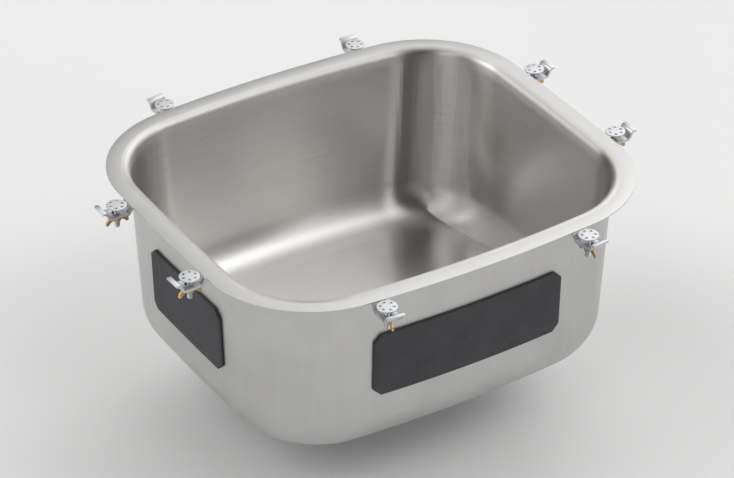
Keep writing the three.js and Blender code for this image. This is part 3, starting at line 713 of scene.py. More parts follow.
def brushed_steel():
    """The bowl's visible face: its walls are brushed around the bowl, its floor along X and its side strips
    along Y."""
    material, tree, shader, position = new_material("brushed_steel")
    x, y, z = add_node(tree, "ShaderNodeSeparateXYZ", {0: position}).outputs
    side = maths(tree, "ABSOLUTE", x)
    end = maths(tree, "ABSOLUTE", y)
    upright = vector_maths(tree, "MULTIPLY", position, (1, 1, FLUTE_SQUEEZE))
    ragged = maths(tree, "SUBTRACT", noise(tree, upright, FLUTES_PER_METRE, detail=2.0), 0.5)

    bow = maths(tree, "DIVIDE", maths(tree, "MULTIPLY", y, y), 2 * STRIP_RADIUS * MM)
    past_line = maths(tree, "GREATER_THAN", maths(tree, "ADD", side, bow), STRIP_MIDDLE * MM)
    beside = maths(tree, "GREATER_THAN", maths(tree, "SUBTRACT", side, end), STRIP_END * MM)
    strip = maths(tree, "MULTIPLY", past_line, beside)
    polish_end = maths(tree, "MULTIPLY_ADD", ragged, WALL_POLISH_RAGGED * MM, z)
    blend = WALL_POLISH_BLEND * MM
    wall = between(tree, polish_end, -WALL_POLISH_DEPTH * MM - blend, -WALL_POLISH_DEPTH * MM + blend)
    rim = between(tree, z, -3 * RIM_RADIUS * MM, -RIM_RADIUS * MM)
    bare_strip = maths(tree, "MULTIPLY", strip, maths(tree, "SUBTRACT", 1.0, wall))

    lines = brushed_lines(tree, position, wall, strip)
    cloud = use_group(tree, BLOTCHES, vector=position, scale=9.0, strength=0.35)["Value"]
    tone = laid_over(tree, cloud, lines["Tone"], share=0.27)
    toned = maths(tree, "MULTIPLY", tone, TONE_IN_COLOUR)
    # painted sheen: the bare side strips' colour is lifted lighter, in place of the light they reflect
    tone_and_painted_sheen = maths(tree, "MULTIPLY_ADD", bare_strip, STRIP_PAINTED_SHEEN, toned)
    tree.links.new(shade(tree, STEEL, tone_and_painted_sheen, BRUSHED_CONTRAST), shader["Base Color"])
    rough = maths(tree, "MULTIPLY_ADD", tone, BRUSHED_ROUGH_SPREAD, BRUSHED_ROUGHNESS)
    rough = maths(tree, "MULTIPLY_ADD", bare_strip, STRIP_ROUGHER, rough)
    tree.links.new(maths(tree, "MULTIPLY_ADD", rim, RIM_ROUGHER, rough), shader["Roughness"])
    shader["Metallic"].default_value = 1
    shader["Anisotropic"].default_value = BRUSHED_STRETCH
    shader["Anisotropic Rotation"].default_value = QUARTER_TURN
    tree.links.new(brushing_direction(tree, x, y, wall, strip), shader["Tangent"])

    flutes = corner_flutes(tree, side, end, ragged)
    flutes = maths(tree, "MULTIPLY", flutes, maths(tree, "SUBTRACT", wall, rim))
    height = maths(tree, "MULTIPLY_ADD", lines["Height"], LINES_IN_HEIGHT, flutes)
    bump(tree, shader, height, strength=1.0, depth=BRUSH_DEPTH)
    return material


def mill_steel():
    """The flange and the hidden outside: dull rolled sheet with faint drawing marks down the walls."""
    material, tree, shader, position = new_material("mill_steel")
    drawn = vector_maths(tree, "MULTIPLY", position, (1, 1, DRAWN_SQUEEZE))
    lines = use_group(tree, BRUSH_LINES, vector=drawn, coarse=160.0, fine=1300.0)
    cloud = use_group(tree, BLOTCHES, vector=position, scale=22.0)["Value"]
    tone = laid_over(tree, cloud, lines["Tone"], share=0.2)
    set_finish(tree, shader, tone, MILL_STEEL, contrast=0.12, roughness=0.42, rough_spread=0.16)
    shader["Metallic"].default_value = 1
    bump(tree, shader, lines["Height"], strength=0.12, depth=BRUSH_DEPTH)
    return material


def turned_metal(name, colour, contrast, roughness, rough_spread, bump_strength):
    """Metal finished on a lathe: rings about Z, with clouds over them."""
    material, tree, shader, position = new_material(name)
    lines = use_group(tree, TURNING_LINES, vector=position)
    cloud = use_group(tree, BLOTCHES, vector=position, scale=40.0)["Value"]
    tone = laid_over(tree, cloud, lines["Tone"], share=0.7)
    set_finish(tree, shader, tone, colour, contrast, roughness, rough_spread)
    shader["Metallic"].default_value = 1
    bump(tree, shader, lines["Height"], bump_strength, depth=BRUSH_DEPTH)
    return material


def zinc_plate():
    """Zinc-plated pressed steel: cool grey with a fine spangle and darker clouds."""
    material, tree, shader, position = new_material("zinc_plate")
    grain = use_group(tree, PEBBLE, vector=position, scale=700.0, roundness=0.6)
    cloud = use_group(tree, BLOTCHES, vector=position, scale=90.0)["Value"]
    tone = laid_over(tree, cloud, grain["Mask"], share=0.25)
    set_finish(tree, shader, tone, ZINC, contrast=0.16, roughness=0.40, rough_spread=0.18)
    shader["Metallic"].default_value = 1
    bump(tree, shader, grain["Height"], strength=0.08, depth=0.05)
    return material


def cast_brass():
    """Sand-cast brass, brighter on its edges and slightly tarnished in its hollows."""
    material, tree, shader, position = new_material("cast_brass")
    grain = use_group(tree, PEBBLE, vector=position, scale=1500.0)
    cloud = use_group(tree, BLOTCHES, vector=position, scale=120.0, strength=1.2)["Value"]
    pointiness = add_node(tree, "ShaderNodeNewGeometry").outputs["Pointiness"]
    edge = between(tree, pointiness, low=0.49, high=0.56, to_low=-0.35, to_high=0.5)
    tone = maths(tree, "ADD", cloud, edge)
    set_finish(tree, shader, tone, BRASS, contrast=0.30, roughness=0.40, rough_spread=-0.16)
    shader["Metallic"].default_value = 1
    bump(tree, shader, grain["Height"], strength=0.25, depth=0.08)
    return material


def moulded(name, colour, contrast, roughness, grain_scale, bump_strength):
    """Rubber, bitumen or fibre: a grained matt surface with a little dust in it."""
    material, tree, shader, position = new_material(name)
    grain = use_group(tree, PEBBLE, vector=position, scale=grain_scale)
    cloud = use_group(tree, BLOTCHES, vector=position, scale=26.0, strength=1.2)["Value"]
    tone = laid_over(tree, cloud, grain["Mask"], share=0.4)
    set_finish(tree, shader, tone, colour, contrast, roughness, rough_spread=0.12)
    bump(tree, shader, grain["Height"], bump_strength, depth=0.25)
    return material


BRUSHED = brushed_steel()
MILL = mill_steel()
POLISHED = turned_metal(
    "polished_steel", POLISHED_STEEL, contrast=0.06, roughness=0.20, rough_spread=0.10, bump_strength=0.05
)
PLATED = zinc_plate()
TURNED_ZINC = turned_metal(
    "plated_nut", ZINC, contrast=0.12, roughness=0.38, rough_spread=0.14, bump_strength=0.12
)
CAST_BRASS = cast_brass()
PAD = moulded("pad_rubber", PAD_RUBBER, contrast=0.45, roughness=0.74, grain_scale=420.0, bump_strength=0.45)
SEAL = moulded(
    "seal_rubber", SEAL_RUBBER, contrast=0.30, roughness=0.55, grain_scale=1300.0, bump_strength=0.15
)
FIBRE_BOARD = moulded(
    "washer_fibre", FIBRE, contrast=0.22, roughness=0.88, grain_scale=1600.0, bump_strength=0.5
)

# ------------------------------------------------------------------ the bowl's outline, in plan


def corner_centre(long_radius, short_radius, corner):
    """Centre of the far right corner's arc, which touches both side arcs from inside."""
    from_long = long_radius - corner
    from_short = short_radius - corner
    span = math.hypot(SHORT_SIDE_CENTRE, LONG_SIDE_CENTRE)
    along = (from_long**2 - from_short**2 + span**2) / (2 * span)
    across = math.sqrt(from_long**2 - along**2)
    dx = SHORT_SIDE_CENTRE / span
    dy = -LONG_SIDE_CENTRE / span
    return along * dx + across * dy, LONG_SIDE_CENTRE + along * dy - across * dx


def side_ends(grow, corner):
    """The outline's side radii, corner centre, and the angles at which its sides meet the corner."""
    long = LONG_SIDE_RADIUS + grow
    short = SHORT_SIDE_RADIUS + grow
    x, y = corner_centre(long, short, corner)
    return long, short, x, y, math.asin(x / (long - corner)), math.asin(y / (short - corner))


def outline_ring(grow, z, corner):
    """Points around the outline at one height, anticlockwise from the near end of the right-hand side."""
    long, short, x, y, long_end, short_end = side_ends(grow, corner)
    up = math.pi / 2
    arcs = (
        (SHORT_SIDE_CENTRE, 0, short, -short_end, short_end, SHORT_SIDE_STEPS),
        (x, y, corner, short_end, up - long_end, CORNER_STEPS),
        (0, LONG_SIDE_CENTRE, long, up - long_end, up + long_end, LONG_SIDE_STEPS),
        (-x, y, corner, up + long_end, 2 * up - short_end, CORNER_STEPS),
    )
    half = []
    for cx, cy, radius, start, end, steps in arcs:
        for i in range(steps):
            angle = start + (end - start) * i / steps
            half.append(Vector((cx + radius * math.cos(angle), cy + radius * math.sin(angle), z)))
    return half + [Vector((-p.x, -p.y, z)) for p in half]


def wall_sections(skin):
    """(grow, z, corner radius) of the sheet from its cut edge to the foot of the floor bend."""
    sections = []

    def add(grow, z, corner):
        sections.append((grow, z, corner))

    middle = -SHEET / 2
    toward = 1 if skin == 0 else -1
    for i in range(EDGE_STEPS + 1):
        turn = math.pi / 2 * i / EDGE_STEPS
        grow = FLANGE_WIDTH - SHEET_EDGE + SHEET_EDGE * math.cos(turn)
        edge_z = SHEET / 2 - SHEET_EDGE + SHEET_EDGE * math.sin(turn)
        add(grow, middle + toward * edge_z, CORNER_RADIUS + grow)
    add(RIM_RADIUS + POLISH_ON_FLANGE, -skin, CORNER_RADIUS + RIM_RADIUS + POLISH_ON_FLANGE)
    rim = RIM_RADIUS - skin
    for i in range(RIM_STEPS + 1):
        turned_by = (math.pi / 2 - WALL_LEAN) * i / RIM_STEPS
        grow = RIM_RADIUS - rim * math.sin(turned_by)
        add(grow, -RIM_RADIUS + rim * math.cos(turned_by), CORNER_RADIUS + grow)
    top_grow, top_z, top_corner = sections[-1]
    for i in range(1, WALL_STEPS):
        share = i / WALL_STEPS
        grow = top_grow - WALL_LENGTH * share * SIN_LEAN
        add(grow, top_z - WALL_LENGTH * share * COS_LEAN, top_corner + CORNER_GROWTH * share)
    bend = FLOOR_RADIUS + skin
    foot = top_grow - WALL_LENGTH * SIN_LEAN
    for i in range(FLOOR_BEND_STEPS + 1):
        turned_by = WALL_LEAN + (math.pi / 2 - WALL_LEAN) * i / FLOOR_BEND_STEPS
        grow = bend * math.cos(turned_by) - FLOOR_EDGE_INSET
        add(grow, -WALL_FOOT_DEPTH - bend * math.sin(turned_by), top_corner + CORNER_GROWTH + grow - foot)
    return sections


FLOOR_DIRECTIONS = [math.atan2(p.y, p.x) for p in outline_ring(*wall_sections(0)[-1])]
FLOOR_MARGIN = BOWL_WIDTH / 2 - FLOOR_EDGE_INSET - RECESS_RADIUS  # from the recess to the near floor edge


def round_ring(radius, z):
    """A circle of points in the same directions as the floor's edge, so that rings can be joined."""
    return [Vector((radius * math.cos(a), radius * math.sin(a), z)) for a in FLOOR_DIRECTIONS]


def floor_ring(skin, share):
    """A ring of the floor: share 0 is its edge, 1 the drain recess. The floor dishes gently."""
    edge = outline_ring(*wall_sections(skin)[-1])
    recess = round_ring(RECESS_RADIUS, -BOWL_DEPTH - skin)
    fall = share**FLOOR_DISH
    ring = []
    for outer, inner in zip(edge, recess):
        flat = outer.lerp(inner, share)
        ring.append(Vector((flat.x, flat.y, outer.z + (inner.z - outer.z) * fall)))
    return ring


def skin_rings(skin):
    """One face of the sheet from the flange's cut edge to the drain hole's: skin 0 is the visible one, and
    SHEET the outside."""
    rings = [outline_ring(*section) for section in wall_sections(skin)]
    rings += [floor_ring(skin, i / FLOOR_STEPS) for i in range(1, FLOOR_STEPS)]
    low = RECESS_FOOT - RECESS_FOOT_BLEND
    high = RECESS_RADIUS + RECESS_BRIM_BLEND
    for i in range(RECESS_STEPS + 1):
        share = i / RECESS_STEPS
        drop = RECESS_STEP * share * share * (3 - 2 * share)
        rings.append(round_ring(high + (low - high) * share, -BOWL_DEPTH - skin - drop))
    toward = 1 if skin == 0 else -1
    middle = -SEAT_DEPTH - SHEET / 2
    for i in range(EDGE_STEPS, -1, -1):
        turn = math.pi / 2 * i / EDGE_STEPS
        radius = DRAIN_HOLE_RADIUS + SHEET_EDGE - SHEET_EDGE * math.cos(turn)
        edge_z = SHEET / 2 - SHEET_EDGE + SHEET_EDGE * math.sin(turn)
        rings.append(round_ring(radius, middle + toward * edge_z))
    return rings


def make_bowl():
    """Both faces of the sheet as one closed piece, brushed where it shows and rolled elsewhere."""
    outer = skin_rings(SHEET)
    inner = skin_rings(0)
    bowl = new_piece("bowl_shell", *loft(outer + inner[::-1]), BRUSHED)
    bowl.data.materials.append(MILL)
    size = len(outer[0])
    polished_from = EDGE_STEPS + 1  # the first ring of the visible face that is brushed
    first = len(outer)
    last = len(outer) + len(inner) - 1 - polished_from
    for face in bowl.data.polygons:
        ring = face.index // size
        face.material_index = 0 if first <= ring < last else 1
    return bowl


# ------------------------------------------------------------------ sound pads


def spread(length, edge, steps):
    """Places along a length, closer together at both of its rounded ends."""
    start = [share * edge for share in PAD_EDGE_ROWS]
    middle = [edge + (length - 2 * edge) * i / steps for i in range(1, steps)]
    return start + middle + [length - s for s in reversed(start)]


def crown(distance, edge, height):
    """Height of a pad's face at a distance in from its rounded edge."""
    inside = max(0, edge - distance)
    return height - edge + math.sqrt(max(0, edge * edge - inside * inside))


def make_wall_pad(name, radius, centre, corner_angle, facing):
    """A pad glued along a wall. It follows the wall's bow and lean, and its corners are clipped."""
    half = corner_angle * radius - PAD_FROM_CORNER
    bottom = WALL_FOOT_DEPTH - PAD_ABOVE_BEND
    columns = spread(2 * half, PAD_CHAMFER, PAD_COLUMNS)
    rows = spread(1, PAD_ROW_EDGE, PAD_ROWS)
    turn = Matrix.Rotation(facing, 3, "Z")

    def cell(i, j, on_face):
        along = columns[i] - half
        clip = max(0, PAD_CHAMFER - (half - abs(along)))
        low = PAD_BELOW_FLANGE + clip
        high = bottom - clip
        depth = low + (high - low) * rows[j]
        inset = (depth - RIM_RADIUS) * math.tan(WALL_LEAN)
        to_edge = min(half - abs(along), depth - low, high - depth)
        proud = crown(to_edge, PAD_EDGE, PAD_THICKNESS) if on_face else 0
        reach = radius - inset + SHEET / COS_LEAN + PAD_BOND + proud
        angle = along / radius
        return turn @ Vector((centre + reach * math.cos(angle), reach * math.sin(angle), -depth))

    counts = (len(columns), len(rows))
    face, faces = grid(*counts, lambda i, j: cell(i, j, True), flip=True)
    glued, glued_faces = grid(*counts, lambda i, j: cell(i, j, False))
    shift = len(face)
    faces += [[v + shift for v in quad] for quad in glued_faces]
    last_column, last_row = counts[0] - 1, counts[1] - 1
    border = [(i, 0) for i in range(last_column)] + [(last_column, j) for j in range(last_row)]
    border += [(i, last_row) for i in range(last_column, 0, -1)] + [(0, j) for j in range(last_row, 0, -1)]
    ring = [i * counts[1] + j for i, j in border]
    for k, here in enumerate(ring):
        after = ring[(k + 1) % len(ring)]
        faces.append([here, after, after + shift, here + shift])
    return new_piece(name, face + glued, faces, PAD)


def make_bottom_pad():
    """A pad glued under the floor, with a bore around the drain recess."""

    def outer(inward, behind):
        return floor_ring(SHEET + behind, (BOTTOM_PAD_MARGIN + inward) / FLOOR_MARGIN)

    def bore(outward, behind):
        radius = RECESS_RADIUS + BOTTOM_PAD_RELIEF + outward
        fall = (1 - (BOTTOM_PAD_RELIEF + outward) / FLOOR_MARGIN) ** FLOOR_DISH
        z = -(BOWL_DEPTH - FLOOR_FALL) - FLOOR_FALL * fall - SHEET - behind
        return round_ring(radius, z)

    edge_places = [share * PAD_EDGE for share in PAD_EDGE_ROWS]
    rings = [outer(0, PAD_BOND)]
    for place in edge_places:
        rings.append(outer(place, PAD_BOND + crown(place, PAD_EDGE, PAD_THICKNESS)))
    start = rings[-1]
    end = bore(PAD_EDGE, PAD_BOND + PAD_THICKNESS)
    for i in range(1, BOTTOM_PAD_STEPS):
        rings.append([a.lerp(b, i / BOTTOM_PAD_STEPS) for a, b in zip(start, end)])
    for place in reversed(edge_places):
        rings.append(bore(place, PAD_BOND + crown(place, PAD_EDGE, PAD_THICKNESS)))
    rings.append(bore(0, PAD_BOND))
    return new_piece("bottom_pad", *loft(rings), PAD)


def make_pads():
    *_, long_end, short_end = side_ends(0, CORNER_RADIUS)
    long = (LONG_SIDE_RADIUS, LONG_SIDE_CENTRE, long_end)
    short = (SHORT_SIDE_RADIUS, SHORT_SIDE_CENTRE, short_end)
    quarter = math.pi / 2
    return {
        "bottom_sound_pad": make_bottom_pad(),
        "back_sound_pad": make_wall_pad("back_pad", *long, quarter),
        "front_sound_pad": make_wall_pad("front_pad", *long, -quarter),
        "right_sound_pad": make_wall_pad("right_pad", *short, 0),
        "left_sound_pad": make_wall_pad("left_pad", *short, 2 * quarter),
    }


# ------------------------------------------------------------------ geometry trees


def mesh_of(tree, source):
    return add_node(tree, "GeometryNodeObjectInfo", {"Object": source}).outputs["Geometry"]


def about_z(tree, angle):
    """A turn about Z."""
    return add_node(tree, "ShaderNodeCombineXYZ", {"Z": angle}).outputs[0]


def copies_at(tree, points, mesh, turn):
    inputs = {"Points": points, "Instance": mesh, "Rotation": turn}
    return add_node(tree, "GeometryNodeInstanceOnPoints", inputs).outputs[0]


def moved(tree, mesh, **change):
    inputs = {"Geometry": mesh} | {socket_name(key): value for key, value in change.items()}
    return add_node(tree, "GeometryNodeTransform", inputs).outputs[0]


def realized(tree, copies):
    return add_node(tree, "GeometryNodeRealizeInstances", {0: copies}).outputs[0]


def give_material(tree, mesh, material, wanted):
    """Ends a tree with its mesh in one material."""
    inputs = {"Geometry": mesh, "Material": material}
    tree.links.new(add_node(tree, "GeometryNodeSetMaterial", inputs).outputs[0], wanted["Mesh"])


def ring_of_cuts_tree():
    """Cuts copies of a cutter, set evenly around Z, out of a mesh."""
    tree, given, wanted = new_group(
        "ring of cuts",
        "GeometryNodeTree",
        [
            ("Mesh", "NodeSocketGeometry", None),
            ("Cutter", "NodeSocketObject", None),
            ("Count", "NodeSocketInt", None),
            ("Radius", FLOAT, None),
            ("Turn", FLOAT, None),
            ("Material", "NodeSocketMaterial", None),
        ],
        [("Mesh", "NodeSocketGeometry")],
    )
    circle = add_node(tree, "GeometryNodeMeshCircle", {"Vertices": given["Count"], "Radius": given["Radius"]})
    index = tree.nodes.new("GeometryNodeInputIndex").outputs[0]
    step = maths(tree, "DIVIDE", 2 * math.pi, given["Count"])
    turn = about_z(tree, maths(tree, "MULTIPLY", index, step))
    ring = copies_at(tree, circle.outputs[0], mesh_of(tree, given["Cutter"]), turn)
    cutters = realized(tree, moved(tree, ring, rotation=about_z(tree, given["Turn"])))
    meshes = {0: given["Mesh"], 1: cutters}
    cut = add_node(tree, "GeometryNodeMeshBoolean", meshes, operation="DIFFERENCE", solver="MANIFOLD")
    give_material(tree, cut.outputs[0], given["Material"], wanted)
    return tree


def place_around_tree():
    """Sets a copy of a clamp's piece at each point, turned by the point's own angle."""
    tree, given, wanted = new_group(
        "set around the bowl",
        "GeometryNodeTree",
        [
            ("Points", "NodeSocketGeometry", None),
            ("Piece", "NodeSocketObject", None),
            ("Stand off", FLOAT, None),
            ("Material", "NodeSocketMaterial", None),
        ],
        [("Mesh", "NodeSocketGeometry")],
    )
    attribute = add_node(tree, "GeometryNodeInputNamedAttribute", {"Name": "facing"}, data_type="FLOAT")
    turn = about_z(tree, attribute.outputs[0])
    offset = add_node(tree, "ShaderNodeCombineXYZ", {"X": given["Stand off"]}).outputs[0]
    piece = moved(tree, mesh_of(tree, given["Piece"]), translation=offset)
    copies = realized(tree, copies_at(tree, given["Points"], piece, turn))
    give_material(tree, copies, given["Material"], wanted)
    return tree


RING_OF_CUTS = ring_of_cuts_tree()
SET_AROUND = place_around_tree()


def run_tree(target, tree, **inputs):
    """Runs a geometry tree on a mesh object with the given inputs, and keeps the result as its plain mesh."""
    modifier = target.modifiers.new(tree.name, "NODES")
    modifier.node_group = tree
    named = {item.name: item.identifier for item in tree.interface.items_tree if item.in_out == "INPUT"}
    for key, value in inputs.items():
        modifier[named[socket_name(key)]] = value
    return bake(target)


def cut_ring(piece, cutter, count, radius, turn=0.0):
    """Cuts a ring of a cutter's copies out of a piece, and removes the cutter."""
    settings = {"cutter": cutter, "count": count, "radius": radius * MM, "turn": turn}
    run_tree(piece, RING_OF_CUTS, material=piece.data.materials[0], **settings)
    discard(cutter)


# ------------------------------------------------------------------ clamps


def make_strap():
    """The bent strap, in a clamp's own frame: X points away from the bowl, and the flange ends at x = 0."""
    tip_top = -SHEET - SEAT_GAP
    level_from = STRAP_RAMP - PLATE_TO_FLANGE
    level_to = STUD_AT + PLATE_RADIUS
    heel = level_to + STRAP_RAMP
    end = heel + STRAP_HEEL
    miter = STRAP_THICKNESS * STRAP_MITER
    inner = STRAP_INNER_BEND
    outer = STRAP_OUTER_BEND
    edge = STRAP_EDGE
    section = rounded(
        [
            (-STRAP_BITE, tip_top, edge),
            (-PLATE_TO_FLANGE, tip_top, outer),
            (level_from, -STRAP_DROP, inner),
            (level_to, -STRAP_DROP, inner),
            (heel, 0, outer),
            (end, 0, edge),
            (end, -STRAP_THICKNESS, edge),
            (heel + miter, -STRAP_THICKNESS, inner),
            (level_to + miter, STRAP_UNDERSIDE, outer),
            (level_from - miter, STRAP_UNDERSIDE, outer),
            (-PLATE_TO_FLANGE - miter, tip_top - STRAP_THICKNESS, inner),
            (-STRAP_BITE, tip_top - STRAP_THICKNESS, edge),
        ]
    )
    strap = extruded("strap", section[::-1], -STRAP_WIDTH / 2, STRAP_WIDTH / 2, PLATED)
    radius = STUD_RADIUS + TURN_GAP
    length = STRAP_SLOT / 2 + radius
    left = STUD_AT - length
    right = STUD_AT + length
    slot_corners = [(left, -radius), (right, -radius), (right, radius), (left, radius)]
    slot_outline = rounded([(x, y, radius - TINY) for x, y in slot_corners], SLOT_END_STEPS)
    slot = extruded("slot", slot_outline, STRAP_DROP - 2, -STRAP_UNDERSIDE + 2, PLATED)
    slot.data.transform(Matrix.Rotation(-math.pi / 2, 4, "X"))
    combine(strap, slot, "DIFFERENCE")
    return bevel(strap, STRAP_BEVEL)


def make_stud():
    """The glued foot with its holes, and the threaded stud under it, about the stud's own axis."""
    edge = 0.3
    plate_corners = [
        (0, -PLATE_THICKNESS, 0),
        (PLATE_RADIUS, -PLATE_THICKNESS, edge),
        (PLATE_RADIUS, 0, edge),
        (0, 0, 0),
    ]
    plate = turned("plate", rounded(plate_corners), PLATED, HUB_STEPS)
    low, high = -3, 1  # past both faces of the plate
    hole_profile = [(0, low), (PLATE_HOLE_RADIUS, low), (PLATE_HOLE_RADIUS, high), (0, high)]
    hole = turned("hole", hole_profile, PLATED, FOOT_HOLE_STEPS)
    cut_ring(plate, hole, PLATE_HOLES, (STUD_RADIUS + PLATE_RADIUS) / 2)
    thread_top = -PLATE_THICKNESS - 2
    thread_bottom = -STUD_LENGTH + STUD_CHAMFER
    weld = arc(STUD_RADIUS + STUD_WELD, -PLATE_THICKNESS - STUD_WELD, STUD_WELD, 180, 95, WELD_STEPS)
    sunk = -PLATE_THICKNESS + 0.2  # the shank's top, a little way into the plate
    profile = [(0, -STUD_LENGTH), (STUD_RADIUS - STUD_CHAMFER, -STUD_LENGTH)]
    profile += threaded_wall(STUD_RADIUS, thread_bottom, thread_top, STUD_PITCH) + weld
    profile += [(STUD_RADIUS + 0.8, sunk), (0, sunk)]
    cut = thread(STUD_RADIUS, STUD_PITCH, STUD_THREAD_DEPTH, thread_bottom - 0.5, thread_top)
    shank = turned("shank", profile, PLATED, STUD_STEPS, cut)
    return join("stud", plate, shank)


def make_wing_nut():
    """A cast nut with two wings, about the stud's own axis, with softened joints between its forms."""
    top = STRAP_UNDERSIDE - SEAT_GAP
    bottom = top - NUT_HEIGHT
    bore = STUD_RADIUS + TURN_GAP
    hub_corners = [
        (bore, bottom, 0.3),
        (NUT_RADIUS - NUT_TAPER, bottom, 0.6),
        (NUT_RADIUS, top, 0.4),
        (bore, top, 0.3),
    ]
    hub = turned("hub", rounded(hub_corners), CAST_BRASS, HUB_STEPS)
    root = bore + NUT_TAPER / 2
    tip = WING_SPAN / 2 - 0.4
    foot = bottom - WING_RISE + 0.6
    wing_outline = rounded(
        [
            (root, top - 1, 0),
            (root, bottom + 1, 0),
            (NUT_RADIUS + 3, bottom - 1.5, 6),
            (tip - 3.2, foot, 2),
            (tip, foot + 1.2, 2.2),
            (tip - 1.2, bottom + 1.5, 4),
            (NUT_RADIUS + 1.5, top - 1, 3),
        ]
    )
    for turn in (0, math.pi):
        wing = extruded("wing", wing_outline, -WING_THICKNESS / 2, WING_THICKNESS / 2, CAST_BRASS)
        turn_about_z(wing, turn)
        combine(hub, wing, "UNION")
    remesh = hub.modifiers.new("cast", "REMESH")
    remesh.mode = "VOXEL"
    remesh.voxel_size = CAST_VOXEL * MM
    smooth = hub.modifiers.new("soften", "SMOOTH")
    smooth.iterations = CAST_SMOOTHING
    return bake(hub, sharp=math.pi)


def clamp_places():
    """The flange's edge at each clamp: its point, and the direction away from the bowl."""
    *_, long_end, short_end = side_ends(0, CORNER_RADIUS)
    sides = (
        (SHORT_SIDE_CENTRE, SHORT_SIDE_RADIUS, short_end, 0),
        (LONG_SIDE_CENTRE, LONG_SIDE_RADIUS, long_end, math.pi / 2),
        (SHORT_SIDE_CENTRE, SHORT_SIDE_RADIUS, short_end, math.pi),
        (LONG_SIDE_CENTRE, LONG_SIDE_RADIUS, long_end, -math.pi / 2),
    )
    places = []
    for centre, radius, end, facing in sides:
        angle = end - CLAMP_FROM_CORNER / radius
        reach = radius + FLANGE_WIDTH
        for turn in (-angle, angle):
            point = Vector((centre + reach * math.cos(turn), reach * math.sin(turn), 0))
            places.append((Matrix.Rotation(facing, 3, "Z") @ point, facing + turn))
    return places


def set_around(name, piece, stand_off, material):
    """Copies of a clamp's piece at all eight places, as one mesh."""
    places = clamp_places()
    whole = new_piece(name, [point for point, _ in places], [], material)
    facing = whole.data.attributes.new("facing", "FLOAT", "POINT")
    for item, (_, angle) in zip(facing.data, places):
        item.value = angle
    run_tree(whole, SET_AROUND, piece=piece, stand_off=stand_off * MM, material=material)
    discard(piece)
    return whole


# ------------------------------------------------------------------ basket strainer


def make_strainer_body():
    """The strainer's flange, cup and threaded neck, in one turned wall."""
    foot = SHELF_RADIUS - CUP_TAPER
    thread_end = NUT_TOP - LOCK_NUT_HEIGHT - STRAINER_SHEET
    underside = CUP_FLOOR_Z - STRAINER_SHEET
    corners = [
        (OUTLET_RADIUS, underside, 0.3),
        (foot + STRAINER_SHEET, underside, CUP_BEND + STRAINER_SHEET),
        (SHELF_RADIUS + STRAINER_SHEET, thread_end - STRAINER_SHEET, 1.5),
        (THREAD_RADIUS, thread_end, 0.4),
    ]
    lower = rounded(corners + [(THREAD_RADIUS, LIP_UNDERSIDE, 0)])[:-1]
    neck = threaded_wall(THREAD_RADIUS, thread_end + 0.6, LIP_UNDERSIDE - 0.4, NECK_PITCH)
    upper = rounded(
        [
            (THREAD_RADIUS, LIP_UNDERSIDE, 0),
            (LIP_RADIUS, LIP_UNDERSIDE, 0.3),
            (LIP_RADIUS - 0.5, LIP_TOP, 0.9),
            (CUP_RADIUS, LIP_TOP, LIP_BEND),
            (CUP_RADIUS, SHOULDER_Z, 0.5),
            (SHELF_RADIUS, SHOULDER_Z, 0.6),
            (foot, CUP_FLOOR_Z, CUP_BEND),
            (OUTLET_RADIUS, CUP_FLOOR_Z, 0.4),
        ]
    )
    cut = thread(THREAD_RADIUS, NECK_PITCH, NECK_THREAD_DEPTH, thread_end + 0.4, LIP_UNDERSIDE - 0.4)
    return turned("strainer_cup", lower + neck + upper, POLISHED, radius_at=cut)


def make_strainer_outlet():
    """The threaded tube under the cup, with the cross that guides the stopper's pin."""
    outer = OUTLET_RADIUS + OUTLET_WALL
    collar = outer + COLLAR_REACH
    collar_foot = OUTLET_TOP - COLLAR_THICKNESS
    foot = rounded([(OUTLET_RADIUS, OUTLET_Z, 0.5), (outer, OUTLET_Z, 0.8), (outer, OUTLET_TOP, 0)])[:-1]
    wall = threaded_wall(outer, OUTLET_Z + 1, collar_foot - 1.5, OUTLET_PITCH)
    head = rounded(
        [
            (outer, collar_foot - 1.2, 0),
            (outer, collar_foot, 1),
            (collar, collar_foot, 0.5),
            (collar, OUTLET_TOP, 0.4),
            (OUTLET_RADIUS, OUTLET_TOP, 0.3),
        ]
    )
    cut = thread(outer, OUTLET_PITCH, OUTLET_THREAD_DEPTH, OUTLET_Z + 0.8, collar_foot - 1.5)
    outlet = turned("strainer_tail", foot + wall + head, POLISHED, radius_at=cut)
    pin_bore = PIN_RADIUS + TURN_GAP
    low = OUTLET_TOP - CROSS_HEIGHT
    half = OUTLET_RADIUS + OUTLET_WALL / 2
    bar_section = rounded([(-half, low, 0), (half, low, 0), (half, OUTLET_TOP, 0), (-half, OUTLET_TOP, 0)])
    hub = pin_bore + CROSS_HUB_WALL
    hub_profile = rounded([(0, low, 0), (hub, low, 0.6), (hub, OUTLET_TOP, 0.4), (0, OUTLET_TOP, 0)])
    cross = turned("hub", hub_profile, POLISHED, HUB_STEPS)
    for turn in (math.pi / 4, -math.pi / 4):
        bar = extruded("bar", bar_section, -CROSS_BAR / 2, CROSS_BAR / 2, POLISHED)
        turn_about_z(bar, turn)
        combine(cross, bar, "UNION")
    bottom, top = low - 2, OUTLET_TOP + 2  # past both faces of the cross
    bore = turned("bore", [(0, bottom), (pin_bore, bottom), (pin_bore, top), (0, top)], POLISHED)
    combine(cross, bore, "DIFFERENCE")
    return combine(outlet, cross, "UNION")


def make_washer(name, inner, outer, low, high, edge, material):
    corners = [(inner, low, edge), (outer, low, edge), (outer, high, edge), (inner, high, edge)]
    return turned(name, rounded(corners), material)


